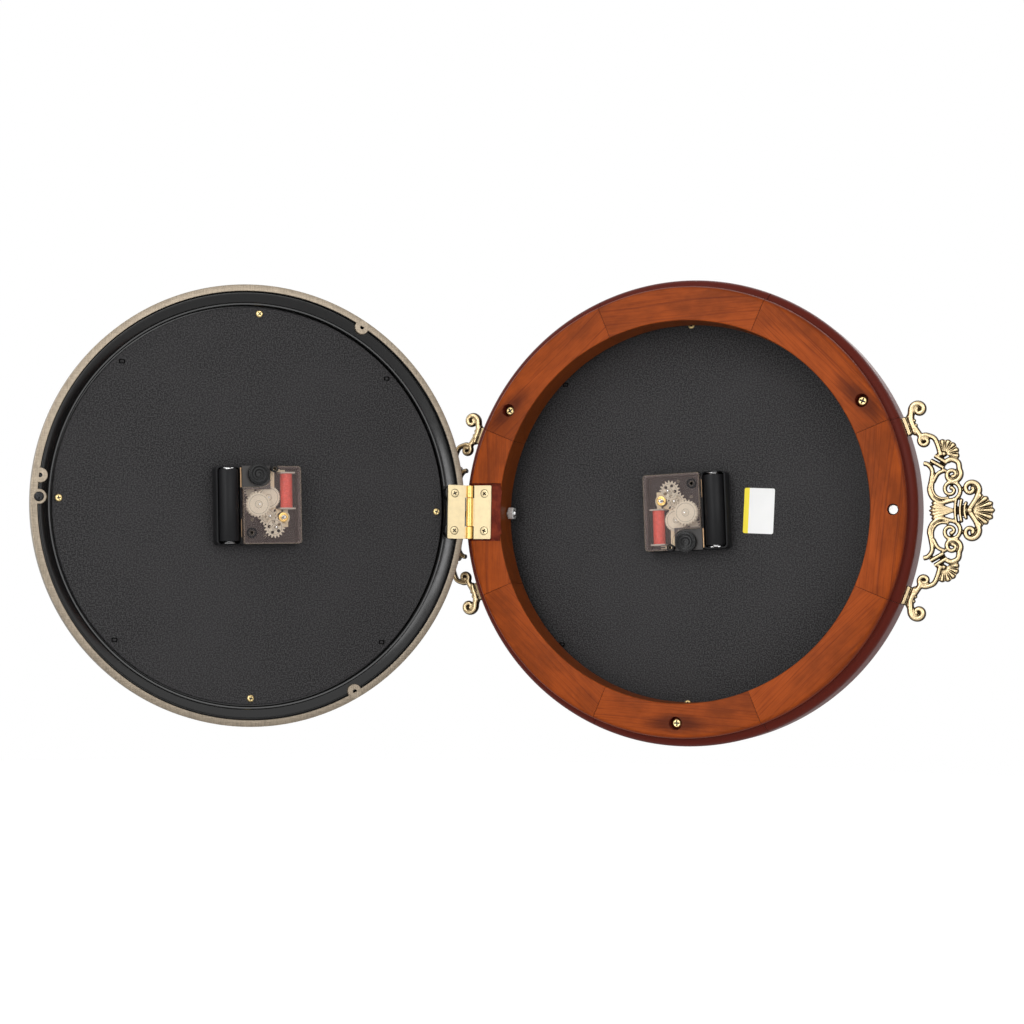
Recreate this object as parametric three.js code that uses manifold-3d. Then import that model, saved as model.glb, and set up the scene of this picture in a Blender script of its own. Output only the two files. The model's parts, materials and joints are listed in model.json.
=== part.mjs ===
// Double-sided wall clock: a glued wooden ring with one dial fixed in its front
// and a second dial on a hinged door over its open back.
//
// Millimetres, +Z up. The clock's own axis runs along Y: the fixed dial looks to +Y and the
// ring's open face to -Y. The clock stands out sideways from a wall at -X, and the origin is
// the outer tip of the casting on that side, where the wall bracket holds it.
import * as THREE from 'three';
import { mergeVertices } from 'three/addons/utils/BufferGeometryUtils.js';
import Module from 'manifold-3d';

const wasm = await Module();
wasm.setup();

// Driving dimensions: clearances
const fit_gap = 0.3;
const overrun = 1;
const weld_distance = 0.0001;
const bearing_gap = 0.3;

// Driving dimensions: wooden ring
const ring_inner_radius = 132;
const ring_face_width = 24;
const ring_band_step = 6;
const ring_depth = 39;
const face_round = 3;
const bead_depth = 0.9;
const bead_place = 5.4;
const bead_width = 1.4;
const cove_length = 6.6;
const front_round = 5;
const seat_depth = 23;
const seat_clearance = 0.9;
const segment_count = 8;
const glue_gap = 0.3;
const ring_face_radius = ring_inner_radius + ring_face_width;
const ring_band_radius = ring_face_radius + ring_band_step;

// Driving dimensions: holes in the ring
const ring_screw_inset = 10.4;
const ring_screw_angles = [30, 150, 270];
const counterbore_radius = 4.6;
const counterbore_depth = 7;
const screw_hole_radius = 2.2;
const catch_inset = 9;
const magnet_radius = 3.2;
const magnet_length = 5;
const magnet_hole_radius = 4.4;
const magnet_inset = 2.6;
const ring_screw_radius = ring_face_radius - ring_screw_inset;
const catch_radius = ring_face_radius - catch_inset;

// Driving dimensions: bezels
const bezel_margin = 3.6;
const rim_width = 4.9;
const bezel_depth = 30;
const bezel_side = 7;
const bezel_shoulder = 27.4;
const glass_lip = 3.2;
const bezel_shoulder_shares = [[0.12, 0.5], [0.4, 0.8], [0.76, 1], [0.96, 0.97]];
const glass_ledge_depth = 24.5;
const board_margin = 14.7;
const board_setback = 7.6;
const board_thickness = 3;
const board_ledge = 8.6;
const board_clearance = 0.84;
const lug_inset = 5.1;
const lug_radius = 5;
const lug_length = 6.5;
const lug_hole_radius = 1.4;
const front_lug_angles = [30, 150, 270];
const door_lug_angles = [60.5, 174.5, 299.5];
const hinge_boss_radius = 6.6;
const hinge_boss_length = 6;
const bezel_radius = ring_face_radius - bezel_margin;
const bezel_opening = bezel_radius - bezel_shoulder;
const board_radius = bezel_radius - board_margin;
const lug_circle_radius = bezel_radius - lug_inset;

// Driving dimensions: glass
const glass_thickness = 2.2;
const glass_rise = 3.4;
const dome_shares = [0.5, 0.75];

// Driving dimensions: hinge, stud and catch
const pin_inset = 0.6;
const pin_setback = 1.3;
const pin_radius = 1.1;
const knuckle_radius = 2.6;
const leaf_thickness = 1.1;
const leaf_length = 38.6;
const leaf_reach = 16.4;
const leaf_screw_place = 11.2;
const leaf_screw_spread = 13.4;
const leaf_screw_radius = 1.9;
const mortise_length = 41.4;
const mortise_depth = 2.8;
const open_angle = 136.6;
const stud_radius = 2.5;
const stud_hole_radius = 3;
const stud_inner_length = 6.4;
const stud_outer_length = 22;
const nut_across = 8;
const nut_length = 4.2;
const knuckle_groove_radius = 3.3;
const nut_standoff = 0.8;
const strike_head_radius = 3.6;
const strike_head_height = 2;
const strike_shank_radius = 1.7;
const strike_shank_length = 6;
const pin_distance = ring_face_radius - pin_inset;

// Driving dimensions: cast crest
const crest_plane = 17.8;
const crest_foot_share = 0.769;
const crest_foot_length = 12.5;
const crest_foot_width = 6.4;
const crest_thickness = 6;
const crest_standoff = 6.2;
const crest_span = 42.3;
const crest_half_height = 72.8;
const crest_bar_radius = 1.75;
const crest_root_radius = ring_band_radius + crest_standoff;
const crest_tip_radius = crest_root_radius + crest_span;

// Driving dimensions: movement case, origin at the hand shaft, height from the board
const case_width = 59.2;
const case_height = 54.2;
const case_drop = 0.6;
const case_wall = 1.3;
const case_floor = 1.5;
const base_height = 9.4;
const cover_height = 15.2;
const cover_wall = 1.2;
const cover_top = 1.5;
const bay_width = 16.4;
const bay_height = 11.5;
const battery_radius = 7.1;
const battery_length = 49.2;
const battery_nub_radius = 2.7;
const battery_nub_length = 1.2;
const knob_corner_width = 19.8;
const knob_corner_height = 15.4;
const knob_corner_drop = 4;
const bushing_radius = 4;
const bushing_length = 6.6;
const bushing_bore = 3;
const shaft_nut_across = 12;
const shaft_nut_height = 2.2;
const pivot_radius = 0.55;
const pivot_hole_radius = 0.9;
const pivot_hole_depth = 0.8;
const post_radius = 0.7;

// Driving dimensions: motor coil and its iron
const coil_across = 20.4;
const coil_height = 9.4;
const coil_radius = 4.3;
const coil_length = 23.6;
const coil_flange_width = 10.6;
const coil_flange_thickness = 1.1;
const coil_level = 7.6;
const iron_bottom = 5.1;
const iron_thickness = 0.9;
const iron_ring_radius = 5.2;
const iron_bore_radius = 3.8;
const iron_leg_width = 2.3;
const iron_leg_place = 11.9;

// Driving dimensions: wheels, as places of the shafts and numbers of teeth
const rotor_across = 17.6;
const rotor_height = -9;
const step_across = 11.4;
const step_height = -15.8;
const reduction_across = 7.1;
const reduction_height = -8.2;
const third_across = 7.55;
const third_height = 4.9;
const knob_across = -0.2;
const knob_height = 20.7;
const motor_pinion_teeth = 6;
const step_teeth = 18;
const reduction_teeth = 15;
const second_teeth = 24;
const fine_pinion_teeth = 6;
const third_teeth = 45;
const center_teeth = 48;
const cannon_teeth = 8;
const minute_work_teeth = 24;
const minute_work_pinion_teeth = 8;
const hour_teeth = 32;
const knob_teeth = 12;
const minute_tooth_size = 0.61;
const addendum_share = 0.8;
const dedendum_share = 1.3;
const wheel_thickness = 0.8;
const pinion_thickness = 1.3;
const wheel_hub_radius = 1.1;
const rotor_magnet_radius = 3.3;
const rotor_magnet_height = 2.2;
const rotor_cap_radius = 3.5;
const knob_radius = 7.4;
const knob_thickness = 3.4;
const knob_stem_radius = 1.5;
const knob_dish_radius = 2.8;
const knob_dish_depth = 0.6;

// Driving dimensions: heights of the wheel layers above the board
const hour_level = 2.5;
const minute_work_level = 4.1;
const center_level = 5.9;
const reduction_level = 7;
const third_level = 8.3;
const step_level = 8.3;
const second_level = 10.1;
const rotor_level = 4.6;

// Driving dimensions: hands and their pipes
const hour_pipe_radius = 2.6;
const hour_pipe_bore = 1.95;
const minute_pipe_radius = 1.6;
const minute_pipe_bore = 0.85;
const second_arbor_radius = 0.5;
const hand_thickness = 0.8;
const hour_hand_drop = 8;
const minute_hand_drop = 10.2;
const second_hand_drop = 12.4;
const pipe_end = 0.8;
const hour_hand_length = 66;
const minute_hand_length = 98;
const second_hand_length = 104;
const second_hand_tail = 30;
const hour_hand_width = 10;
const minute_hand_width = 8;
const second_hand_width = 1.8;
const hour_hub_radius = 6.5;
const minute_hub_radius = 5.5;
const second_hub_radius = 3.6;
const blade_waist_share = 0.5;
const blade_belly_share = 0.62;

// Settings of the movements and hands
const door_movement_turn = 2.3;
const front_movement_turn = 182.8;
const front_time = { hour: 305, minute: 60, second: 180 };
const door_time = { hour: 305, minute: 60, second: 210 };

// Facets
const ring_steps = 4;
const rim_facets = 32;
const glass_facets = 24;
const hole_facets = 12;
const pipe_facets = 8;
const knob_facets = 16;
const hexagon = 6;

// Finishes
const finish = (color, roughness, metalness, extra = {}) =>
  new THREE.MeshStandardMaterial({ color, roughness, metalness, ...extra });
const wood = finish(0x8a4218, 0.38, 0);
const champagne_metal = finish(0xb9ab98, 0.4, 0.85);
const clear_glass = finish(0xe8eeee, 0.06, 0, { transparent: true, opacity: 0.25 });
const charcoal_board = finish(0x3c3b3b, 0.75, 0);
const smoke_plastic = finish(0x6b6058, 0.2, 0, { transparent: true, opacity: 0.5 });
const black_plastic = finish(0x17171a, 0.5, 0);
const battery_sleeve = finish(0x2a2b2f, 0.4, 0.1);
const coil_red = finish(0xd44b42, 0.45, 0);
const wheel_resin = finish(0xc9bfae, 0.45, 0);
const brass = finish(0xe2b45a, 0.25, 0.95);
const hinge_brass = finish(0xe9cf86, 0.22, 0.95);
const antique_brass = finish(0xb89a66, 0.38, 0.9);
const steel = finish(0xc8cacc, 0.25, 0.95);
const black_enamel = finish(0x121212, 0.35, 0.3);

const turn = Math.PI * 2;
const rad = THREE.MathUtils.degToRad;

// A geometry's triangles with shared corners merged, none degenerate and all facing out
function tidy(geometry) {
  const plain = geometry.index ? geometry.toNonIndexed() : geometry.clone();
  plain.deleteAttribute('normal');
  plain.deleteAttribute('uv');
  const merged = mergeVertices(plain, weld_distance);
  const place = merged.attributes.position;
  const index = merged.index.array;
  const corners = [];
  let volume = 0;
  const a = new THREE.Vector3();
  const b = new THREE.Vector3();
  const c = new THREE.Vector3();
  for (let i = 0; i < index.length; i += 3) {
    const [p, q, r] = [index[i], index[i + 1], index[i + 2]];
    if (p === q || q === r || r === p) continue;
    corners.push(p, q, r);
    a.fromBufferAttribute(place, p);
    b.fromBufferAttribute(place, q);
    c.fromBufferAttribute(place, r);
    volume += a.dot(b.cross(c));
  }
  if (volume < 0) {
    for (let i = 0; i < corners.length; i += 3) {
      [corners[i + 1], corners[i + 2]] = [corners[i + 2], corners[i + 1]];
    }
  }
  merged.setIndex(corners);
  return merged;
}

function toSolid(geometry) {
  const clean = tidy(geometry);
  return new wasm.Manifold(new wasm.Mesh({
    numProp: 3,
    vertProperties: new Float32Array(clean.attributes.position.array),
    triVerts: new Uint32Array(clean.index.array),
  }));
}

function toGeometry(solid) {
  const mesh = solid.getMesh();
  const geometry = new THREE.BufferGeometry();
  geometry.setAttribute('position', new THREE.BufferAttribute(new Float32Array(mesh.vertProperties), 3));
  geometry.setIndex(Array.from(mesh.triVerts));
  return geometry;
}

function carve(bodies, cutters = []) {
  let solid = toSolid(bodies[0]);
  for (const body of bodies.slice(1)) solid = solid.add(toSolid(body));
  for (const cutter of cutters) solid = solid.subtract(toSolid(cutter));
  return toGeometry(solid);
}

// Named mesh with flat-shaded facets
function piece(name, geometry, material) {
  const clean = tidy(geometry);
  clean.computeVertexNormals();
  const mesh = new THREE.Mesh(clean, material);
  mesh.name = name;
  return mesh;
}

// An outline in x and z, pulled along y from one level to another
function prism(shape, from, to, curveSegments = hole_facets) {
  const depth = Math.abs(to - from);
  const solid = new THREE.ExtrudeGeometry(shape, { depth, bevelEnabled: false, curveSegments });
  solid.rotateX(Math.PI / 2);
  solid.translate(0, Math.max(from, to), 0);
  return solid;
}

function rod(radius, from, to, x = 0, z = 0, facets = hole_facets) {
  const solid = new THREE.CylinderGeometry(radius, radius, Math.abs(to - from), facets);
  solid.translate(x, (from + to) / 2, z);
  return solid;
}

// A rod along x, on the axis
function hubAlong(from, to, radius) {
  const solid = new THREE.CylinderGeometry(radius, radius, to - from, pipe_facets);
  solid.rotateZ(Math.PI / 2);
  solid.translate((from + to) / 2, 0, 0);
  return solid;
}

function block(x0, x1, y0, y1, z0, z1) {
  const solid = new THREE.BoxGeometry(x1 - x0, y1 - y0, z1 - z0);
  solid.translate((x0 + x1) / 2, (y0 + y1) / 2, (z0 + z1) / 2);
  return solid;
}

const outline = (points) => new THREE.Shape(points.map(([x, z]) => new THREE.Vector2(x, z)));
const circle = (radius, facets) => Array.from({ length: facets }, (_, i) => [
  radius * Math.cos(turn * i / facets), radius * Math.sin(turn * i / facets)]);
const hexCorner = (across) => across / 2 / Math.cos(Math.PI / hexagon);
const polar = (radius, degrees) => [radius * Math.cos(rad(degrees)), radius * Math.sin(rad(degrees))];

function roundedRectangle(x0, x1, z0, z1, round) {
  const shape = new THREE.Shape();
  shape.moveTo(x0 + round, z0);
  shape.lineTo(x1 - round, z0);
  shape.quadraticCurveTo(x1, z0, x1, z0 + round);
  shape.lineTo(x1, z1 - round);
  shape.quadraticCurveTo(x1, z1, x1 - round, z1);
  shape.lineTo(x0 + round, z1);
  shape.quadraticCurveTo(x0, z1, x0, z1 - round);
  shape.lineTo(x0, z0 + round);
  shape.quadraticCurveTo(x0, z0, x0 + round, z0);
  return shape;
}

// A profile in radius and y swept round part of the axis, with its two end faces
function sector(profile, start, end, steps) {
  const corners = [];
  const ring = profile.map(([r, y]) => new THREE.Vector2(r, y));
  const at = (k, i) => {
    const angle = start + (end - start) * i / steps;
    return [ring[k].x * Math.cos(angle), ring[k].y, ring[k].x * Math.sin(angle)];
  };
  for (let i = 0; i < steps; i += 1) {
    for (let k = 0; k < ring.length; k += 1) {
      const next = (k + 1) % ring.length;
      corners.push(...at(k, i), ...at(next, i), ...at(next, i + 1));
      corners.push(...at(k, i), ...at(next, i + 1), ...at(k, i + 1));
    }
  }
  const caps = THREE.ShapeUtils.triangulateShape(ring, []);
  const forward = THREE.ShapeUtils.isClockWise(ring);
  for (const [a, b, c] of caps) {
    const first = forward ? [a, b, c] : [a, c, b];
    const last = forward ? [a, c, b] : [a, b, c];
    for (const k of first) corners.push(...at(k, 0));
    for (const k of last) corners.push(...at(k, steps));
  }
  const geometry = new THREE.BufferGeometry();
  geometry.setAttribute('position', new THREE.Float32BufferAttribute(corners, 3));
  return geometry;
}

// A bar with a flat back and a ridge along its front, bent along a curve
function bar(points, radius, depth, steps = points.length - 1) {
  const path = new THREE.CatmullRomCurve3(points.map(([x, z]) => new THREE.Vector3(x, 0, z)));
  const section = outline([[depth, -radius], [depth, radius], [-depth, 0]]);
  return new THREE.ExtrudeGeometry(section, { steps, extrudePath: path, bevelEnabled: false });
}

// Wooden ring

const segment_angle = turn / segment_count;

function ringProfile() {
  const bead = ring_face_radius - bead_depth;
  const cove_start = bead_place + bead_width;
  const seat_radius = bezel_radius + seat_clearance;
  return [
    [ring_inner_radius, 0],
    [ring_face_radius - face_round, 0],
    [ring_face_radius - face_round / 4, face_round / 3],
    [ring_face_radius, face_round],
    [ring_face_radius, bead_place],
    [bead, bead_place + bead_width / 2],
    [ring_face_radius, bead_place + bead_width],
    [(ring_face_radius + ring_band_radius) / 2, cove_start + cove_length / 4],
    [ring_band_radius, cove_start + cove_length],
    [ring_band_radius, ring_depth - front_round],
    [ring_band_radius - front_round / 4, ring_depth - front_round / 4],
    [ring_band_radius - front_round, ring_depth],
    [seat_radius, ring_depth],
    [seat_radius, seat_depth],
    [ring_inner_radius, seat_depth],
  ];
}

function ringSegment(k) {
  const middle = k * segment_angle;
  const slack = glue_gap / (2 * ring_inner_radius);
  const start = middle - segment_angle / 2 + slack;
  const end = middle + segment_angle / 2 - slack;
  const body = sector(ringProfile(), start, end, ring_steps);
  const cutters = [];
  for (const degrees of ring_screw_angles) {
    if (Math.round(rad(degrees) / segment_angle) !== k) continue;
    const [x, z] = polar(ring_screw_radius, degrees);
    cutters.push(rod(counterbore_radius, -overrun, counterbore_depth, x, z));
    cutters.push(rod(screw_hole_radius, -overrun, seat_depth + overrun, x, z, pipe_facets));
  }
  if (k === 0) {
    const depth = magnet_inset + magnet_length + fit_gap;
    cutters.push(rod(magnet_hole_radius, -overrun, depth, catch_radius, 0));
  }
  if (k === segment_count / 2) {
    const half = mortise_length / 2;
    const wall_end = -ring_inner_radius + overrun;
    cutters.push(block(-ring_band_radius, wall_end, -overrun, mortise_depth, -half, half));
    const groove = new THREE.CylinderGeometry(knuckle_groove_radius, knuckle_groove_radius,
      mortise_length, hole_facets);
    groove.rotateX(Math.PI / 2);
    groove.translate(-pin_distance, pin_setback, 0);
    cutters.push(groove);
    const hole = hubAlong(-ring_band_radius - overrun, wall_end, stud_hole_radius);
    hole.translate(0, crest_plane, 0);
    cutters.push(hole);
  }
  return piece(`ring_segment_${k + 1}`, carve([body], cutters), wood);
}

// Bezel with its glass, dial board, hands and movement; local y runs from the rim to the glass

const rim_inner_radius = bezel_radius - rim_width;
const ledge_outer = board_radius + board_clearance;
const ledge_inner = ledge_outer - board_ledge;
const ledge_level = board_setback + board_thickness + fit_gap;
const glass_radius = ledge_inner - 2 * fit_gap;

function revolve(profile, facets) {
  return new THREE.LatheGeometry(profile.map(([r, y]) => new THREE.Vector2(r, y)), facets);
}

function bezel(name, lugAngles, hingeBosses) {
  const profile = [
    [rim_inner_radius, 0],
    [bezel_radius, 0],
    [bezel_radius, bezel_side],
    ...bezel_shoulder_shares.map(([in_share, out_share]) => [
      bezel_radius - bezel_shoulder * in_share, bezel_depth * out_share]),
    [bezel_opening, glass_ledge_depth + glass_lip / 3],
    [bezel_opening, glass_ledge_depth],
    [ledge_inner, glass_ledge_depth],
    [ledge_inner, ledge_level],
    [ledge_outer, ledge_level],
    [ledge_outer, board_setback],
    [(ledge_outer * 2 + rim_inner_radius) / 3, board_setback / 2],
    [rim_inner_radius, 0],
  ];
  const bodies = [revolve(profile, rim_facets)];
  const cutters = [];
  for (const degrees of lugAngles) {
    const [x, z] = polar(lug_circle_radius, degrees);
    bodies.push(rod(lug_radius, 0, lug_length, x, z, pipe_facets));
    cutters.push(rod(lug_hole_radius, -overrun, lug_length - overrun, x, z, hexagon));
  }
  if (hingeBosses) {
    const x = pin_distance - leaf_screw_place;
    for (const z of [-leaf_screw_spread, leaf_screw_spread]) {
      bodies.push(rod(hinge_boss_radius, 0, hinge_boss_length, x, z, pipe_facets));
    }
    const hole = rod(strike_shank_radius + fit_gap, -overrun, strike_shank_length + fit_gap, -catch_radius, 0,
      pipe_facets);
    const seat = rod(lug_radius, 0, lug_length, -catch_radius, 0, pipe_facets);
    bodies.push(seat);
    cutters.push(hole);
  }
  return piece(name, carve(bodies, cutters), champagne_metal);
}

function glass(name) {
  const edge = bezel_opening - fit_gap;
  const [out_share, rise_share] = dome_shares;
  const front = glass_ledge_depth - fit_gap;
  const back = front - glass_thickness;
  const profile = [
    [0, back + glass_rise],
    [edge * out_share, back + glass_rise * rise_share],
    [edge, back],
    [glass_radius, back],
    [glass_radius, front],
    [edge, front],
    [edge * out_share, front + glass_rise * rise_share],
    [0, front + glass_rise],
  ];
  return piece(name, revolve(profile, glass_facets), clear_glass);
}

function dialBoard(name) {
  const shape = outline(circle(board_radius, rim_facets));
  shape.holes.push(outline(circle(bushing_radius + fit_gap, hole_facets)));
  const body = prism(shape, board_setback, board_setback + board_thickness);
  return piece(name, body, charcoal_board);
}

// Movement; local x and z as seen from the back, heights measured from the board to the back

const left = -case_width / 2;
const right = case_width / 2;
const bottom = -case_height / 2 - case_drop;
const top = case_height / 2 - case_drop;
const bay_right = left + bay_width;
const gear_left = bay_right + case_wall;
const corner_right = gear_left + knob_corner_width;
const corner_bottom = top - knob_corner_height;
const corner_level = cover_height - knob_corner_drop;
const battery_place = (left + case_wall + bay_right) / 2;
const battery_level = case_floor + fit_gap + battery_radius + fit_gap;

// Heights grow away from the board, which is towards -y
const slab = (shape, low, high, facets) => prism(shape, -low, -high, facets);
const post = (radius, low, high, place, facets) => rod(radius, -low, -high, place[0], place[1], facets);
const box = (x0, x1, low, high, z0, z1) => block(x0, x1, -high, -low, z0, z1);

const coil_place = [coil_across, coil_height];
const rotor_place = [rotor_across, rotor_height];
const step_place = [step_across, step_height];
const reduction_place = [reduction_across, reduction_height];
const third_place = [third_across, third_height];
const knob_place = [knob_across, knob_height];
const train_shafts = [rotor_place, step_place, reduction_place];

function distance(a, b) {
  return Math.hypot(a[0] - b[0], a[1] - b[1]);
}

// The point at two given distances from two places, on the left of the line between them
function meetingPoint(a, b, fromA, fromB) {
  const span = distance(a, b);
  const along = (fromA * fromA - fromB * fromB + span * span) / (2 * span);
  const aside = Math.sqrt(Math.max(0, fromA * fromA - along * along));
  const [ux, uz] = [(b[0] - a[0]) / span, (b[1] - a[1]) / span];
  return [a[0] + ux * along - uz * aside, a[1] + uz * along + ux * aside];
}

const center = [0, 0];
const minute_work_distance = minute_tooth_size * (cannon_teeth + minute_work_teeth) / 2;
const knob_distance = minute_tooth_size * (knob_teeth + minute_work_teeth) / 2;
const minute_work_place = meetingPoint(center, knob_place, minute_work_distance, knob_distance);

function movementBase(name) {
  const floor_low = fit_gap;
  const floor_high = fit_gap + case_floor;
  const shell = roundedRectangle(left, right, bottom, top, case_wall * 2);
  const bodies = [
    slab(shell, floor_low, base_height, hexagon),
    slab(roundedRectangle(left, bay_right + case_wall, bottom, top, case_wall * 2),
      floor_low, bay_height, hexagon),
  ];
  const cutters = [
    box(gear_left, right - case_wall, floor_high, bay_height + overrun, bottom + case_wall, top - case_wall),
    box(left + case_wall, bay_right, floor_high, bay_height + overrun, bottom + case_wall, top - case_wall),
  ];
  const extras = [
    post(bushing_radius, -bushing_length, floor_high, center, hole_facets),
    post(post_radius, floor_low, minute_work_level + pinion_thickness, minute_work_place, hexagon),
  ];
  const holes = [post(bushing_bore, -bushing_length - overrun, floor_high + overrun, center, pipe_facets)];
  let solid = toSolid(carve(bodies, cutters));
  for (const extra of extras) solid = solid.add(toSolid(extra));
  for (const hole of holes) solid = solid.subtract(toSolid(hole));
  return piece(name, toGeometry(solid), black_plastic);
}

function movementCover(name) {
  const low = base_height + fit_gap;
  const x0 = gear_left + fit_gap;
  const outer = roundedRectangle(x0, right, bottom, top, case_wall * 2);
  const inner_top = cover_height - cover_top;
  const pivot_top = inner_top + pivot_hole_depth;
  const inner_left = x0 + cover_wall;
  const inner_right = right - cover_wall;
  const inner_end = top - cover_wall;
  const link = corner_bottom - 2 * cover_wall;
  const bodies = [slab(outer, low, cover_height, hexagon)];
  const cutters = [
    box(inner_left, inner_right, low - overrun, inner_top, bottom + cover_wall, corner_bottom - cover_wall),
    box(corner_right + cover_wall, inner_right, low - overrun, inner_top, link, inner_end),
    box(x0 - overrun, corner_right, corner_level, cover_height + overrun, corner_bottom, top + overrun),
    box(inner_left, corner_right + 2 * cover_wall, low - overrun, corner_level - cover_top, link, inner_end),
    post(knob_stem_radius + fit_gap, low, cover_height, knob_place, pipe_facets),
  ];
  for (const place of [...train_shafts, center]) {
    cutters.push(post(pivot_hole_radius, inner_top - overrun, pivot_top, place, hexagon));
  }
  return piece(name, carve(bodies, cutters), smoke_plastic);
}

function battery(name) {
  const half = battery_length / 2;
  const nub_end = half + battery_nub_length;
  const profile = [
    [0, -half], [battery_radius, -half], [battery_radius, half],
    [battery_nub_radius, half], [battery_nub_radius, nub_end], [0, nub_end],
  ];
  const body = revolve(profile, hole_facets);
  body.rotateX(Math.PI / 2);
  body.translate(battery_place, -battery_level, -case_drop);
  return piece(name, body, battery_sleeve);
}

function motorCoil(name) {
  const [x, z] = coil_place;
  const half = coil_length / 2;
  const winding = new THREE.CylinderGeometry(coil_radius, coil_radius, coil_length + overrun, hole_facets);
  winding.rotateX(Math.PI / 2);
  winding.translate(x, -coil_level, z);
  const bodies = [winding];
  const flange = coil_flange_width / 2;
  for (const side of [-1, 1]) {
    const z0 = z + side * half;
    const z1 = z + side * (half + coil_flange_thickness);
    bodies.push(box(x - flange, x + flange, coil_level - coil_radius - overrun / 2,
      coil_level + coil_radius + overrun / 2, Math.min(z0, z1), Math.max(z0, z1)));
  }
  const [rotor_x, rotor_z] = rotor_place;
  const iron_top = z + half + coil_flange_thickness;
  const leg = iron_leg_place;
  const iron = outline([
    [leg, rotor_z], [leg + iron_leg_width, rotor_z], [leg + iron_leg_width, iron_top - overrun / 2],
    [x, iron_top - overrun / 2], [x, iron_top + iron_leg_width], [leg, iron_top + iron_leg_width],
  ]);
  const foot = outline([
    [x - iron_leg_width, z - half - overrun / 2], [x + iron_leg_width, z - half - overrun / 2],
    [rotor_x + iron_ring_radius, rotor_z], [rotor_x, rotor_z],
  ]);
  const high = iron_bottom + iron_thickness;
  bodies.push(slab(iron, iron_bottom, high), slab(foot, iron_bottom, high));
  bodies.push(post(iron_ring_radius, iron_bottom, high, rotor_place, hole_facets));
  const bore = post(iron_bore_radius, iron_bottom - overrun, high + overrun, rotor_place, hole_facets);
  return piece(name, carve(bodies, [bore]), coil_red);
}

function shaftNut(name) {
  const low = -board_thickness - fit_gap;
  const shape = outline(circle(hexCorner(shaft_nut_across), hexagon));
  shape.holes.push(outline(circle(bushing_radius + fit_gap, hole_facets)));
  return piece(name, slab(shape, low, low - shaft_nut_height), brass);
}

// Gear train: tooth outlines run to a point, and a pair's phases let teeth stand in gaps

function toothedDisc(teeth, module_size, phase, low, high, place) {
  const pitch_radius = module_size * teeth / 2;
  const tip = pitch_radius + module_size * addendum_share;
  const root = pitch_radius - module_size * dedendum_share;
  const points = [];
  for (let i = 0; i < teeth * 2; i += 1) {
    const radius = i % 2 === 0 ? tip : root;
    const angle = phase + turn * i / (teeth * 2);
    points.push([place[0] + radius * Math.cos(angle), place[1] + radius * Math.sin(angle)]);
  }
  return slab(outline(points), low, high);
}

const pairModule = (a, b, teethA, teethB) => 2 * distance(a, b) / (teethA + teethB);

function matingPhase(a, b, teethA, teethB, phaseA) {
  const direction = Math.atan2(b[1] - a[1], b[0] - a[0]);
  const along = (direction - phaseA) * teethA / turn;
  return direction + Math.PI - (0.5 - along) * turn / teethB;
}

const step_module = pairModule(rotor_place, step_place, motor_pinion_teeth, step_teeth);
const reduction_module = pairModule(step_place, reduction_place, motor_pinion_teeth, reduction_teeth);
const second_module = pairModule(reduction_place, center, motor_pinion_teeth, second_teeth);
const third_module = pairModule(center, third_place, fine_pinion_teeth, third_teeth);
const center_module = pairModule(third_place, center, fine_pinion_teeth, center_teeth);
const hour_module = pairModule(minute_work_place, center, minute_work_pinion_teeth, hour_teeth);

const rotor_phase = 0;
const step_phase = matingPhase(rotor_place, step_place, motor_pinion_teeth, step_teeth, rotor_phase);
const reduction_phase = matingPhase(
  step_place, reduction_place, motor_pinion_teeth, reduction_teeth, step_phase);
const second_phase = matingPhase(reduction_place, center, motor_pinion_teeth, second_teeth, reduction_phase);
const third_phase = matingPhase(center, third_place, fine_pinion_teeth, third_teeth, second_phase);
const center_phase = matingPhase(third_place, center, fine_pinion_teeth, center_teeth, third_phase);
const cannon_phase = 0;
const work_phase = matingPhase(center, minute_work_place, cannon_teeth, minute_work_teeth, cannon_phase);
const hour_phase = matingPhase(minute_work_place, center, minute_work_pinion_teeth, hour_teeth, work_phase);
const knob_phase = matingPhase(minute_work_place, knob_place, minute_work_teeth, knob_teeth, work_phase);

const pivot_low = fit_gap + case_floor + bearing_gap;
const pivot_high = cover_height - cover_top + pivot_hole_depth - bearing_gap;
const mesh_margin = (pinion_thickness - wheel_thickness) / 2;

function wheelDisc(teeth, module_size, phase, level, place) {
  return toothedDisc(teeth, module_size, phase, level, level + wheel_thickness, place);
}

// A disc of teeth that sits round the middle of its mating wheel's thickness
function pinionDisc(teeth, module_size, phase, level, place) {
  const low = level - mesh_margin;
  return toothedDisc(teeth, module_size, phase, low, low + pinion_thickness, place);
}

// A wheel and a pinion on one arbor, each given as teeth, module and lowest level
function arborWheel(name, place, phase, wheel, pinion, high = pivot_high) {
  const bodies = [
    wheelDisc(wheel.teeth, wheel.size, phase, wheel.level, place),
    pinionDisc(pinion.teeth, pinion.size, phase, pinion.level, place),
    post(pivot_radius, pivot_low, high, place, hexagon),
  ];
  return piece(name, carve(bodies), wheel_resin);
}

function rotor(name) {
  const magnet_top = rotor_level + rotor_magnet_height;
  const pinion_low = step_level - mesh_margin;
  const pinion_high = pinion_low + pinion_thickness;
  const bodies = [
    post(rotor_magnet_radius, rotor_level, magnet_top, rotor_place, hole_facets),
    post(wheel_hub_radius, magnet_top - mesh_margin, pinion_low + mesh_margin, rotor_place, hexagon),
    pinionDisc(motor_pinion_teeth, step_module, rotor_phase, step_level, rotor_place),
    post(rotor_cap_radius, pinion_high, pinion_high + wheel_thickness, rotor_place, hole_facets),
    post(pivot_radius, pivot_low, pivot_high, rotor_place, hexagon),
  ];
  return piece(name, carve(bodies), brass);
}

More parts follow.
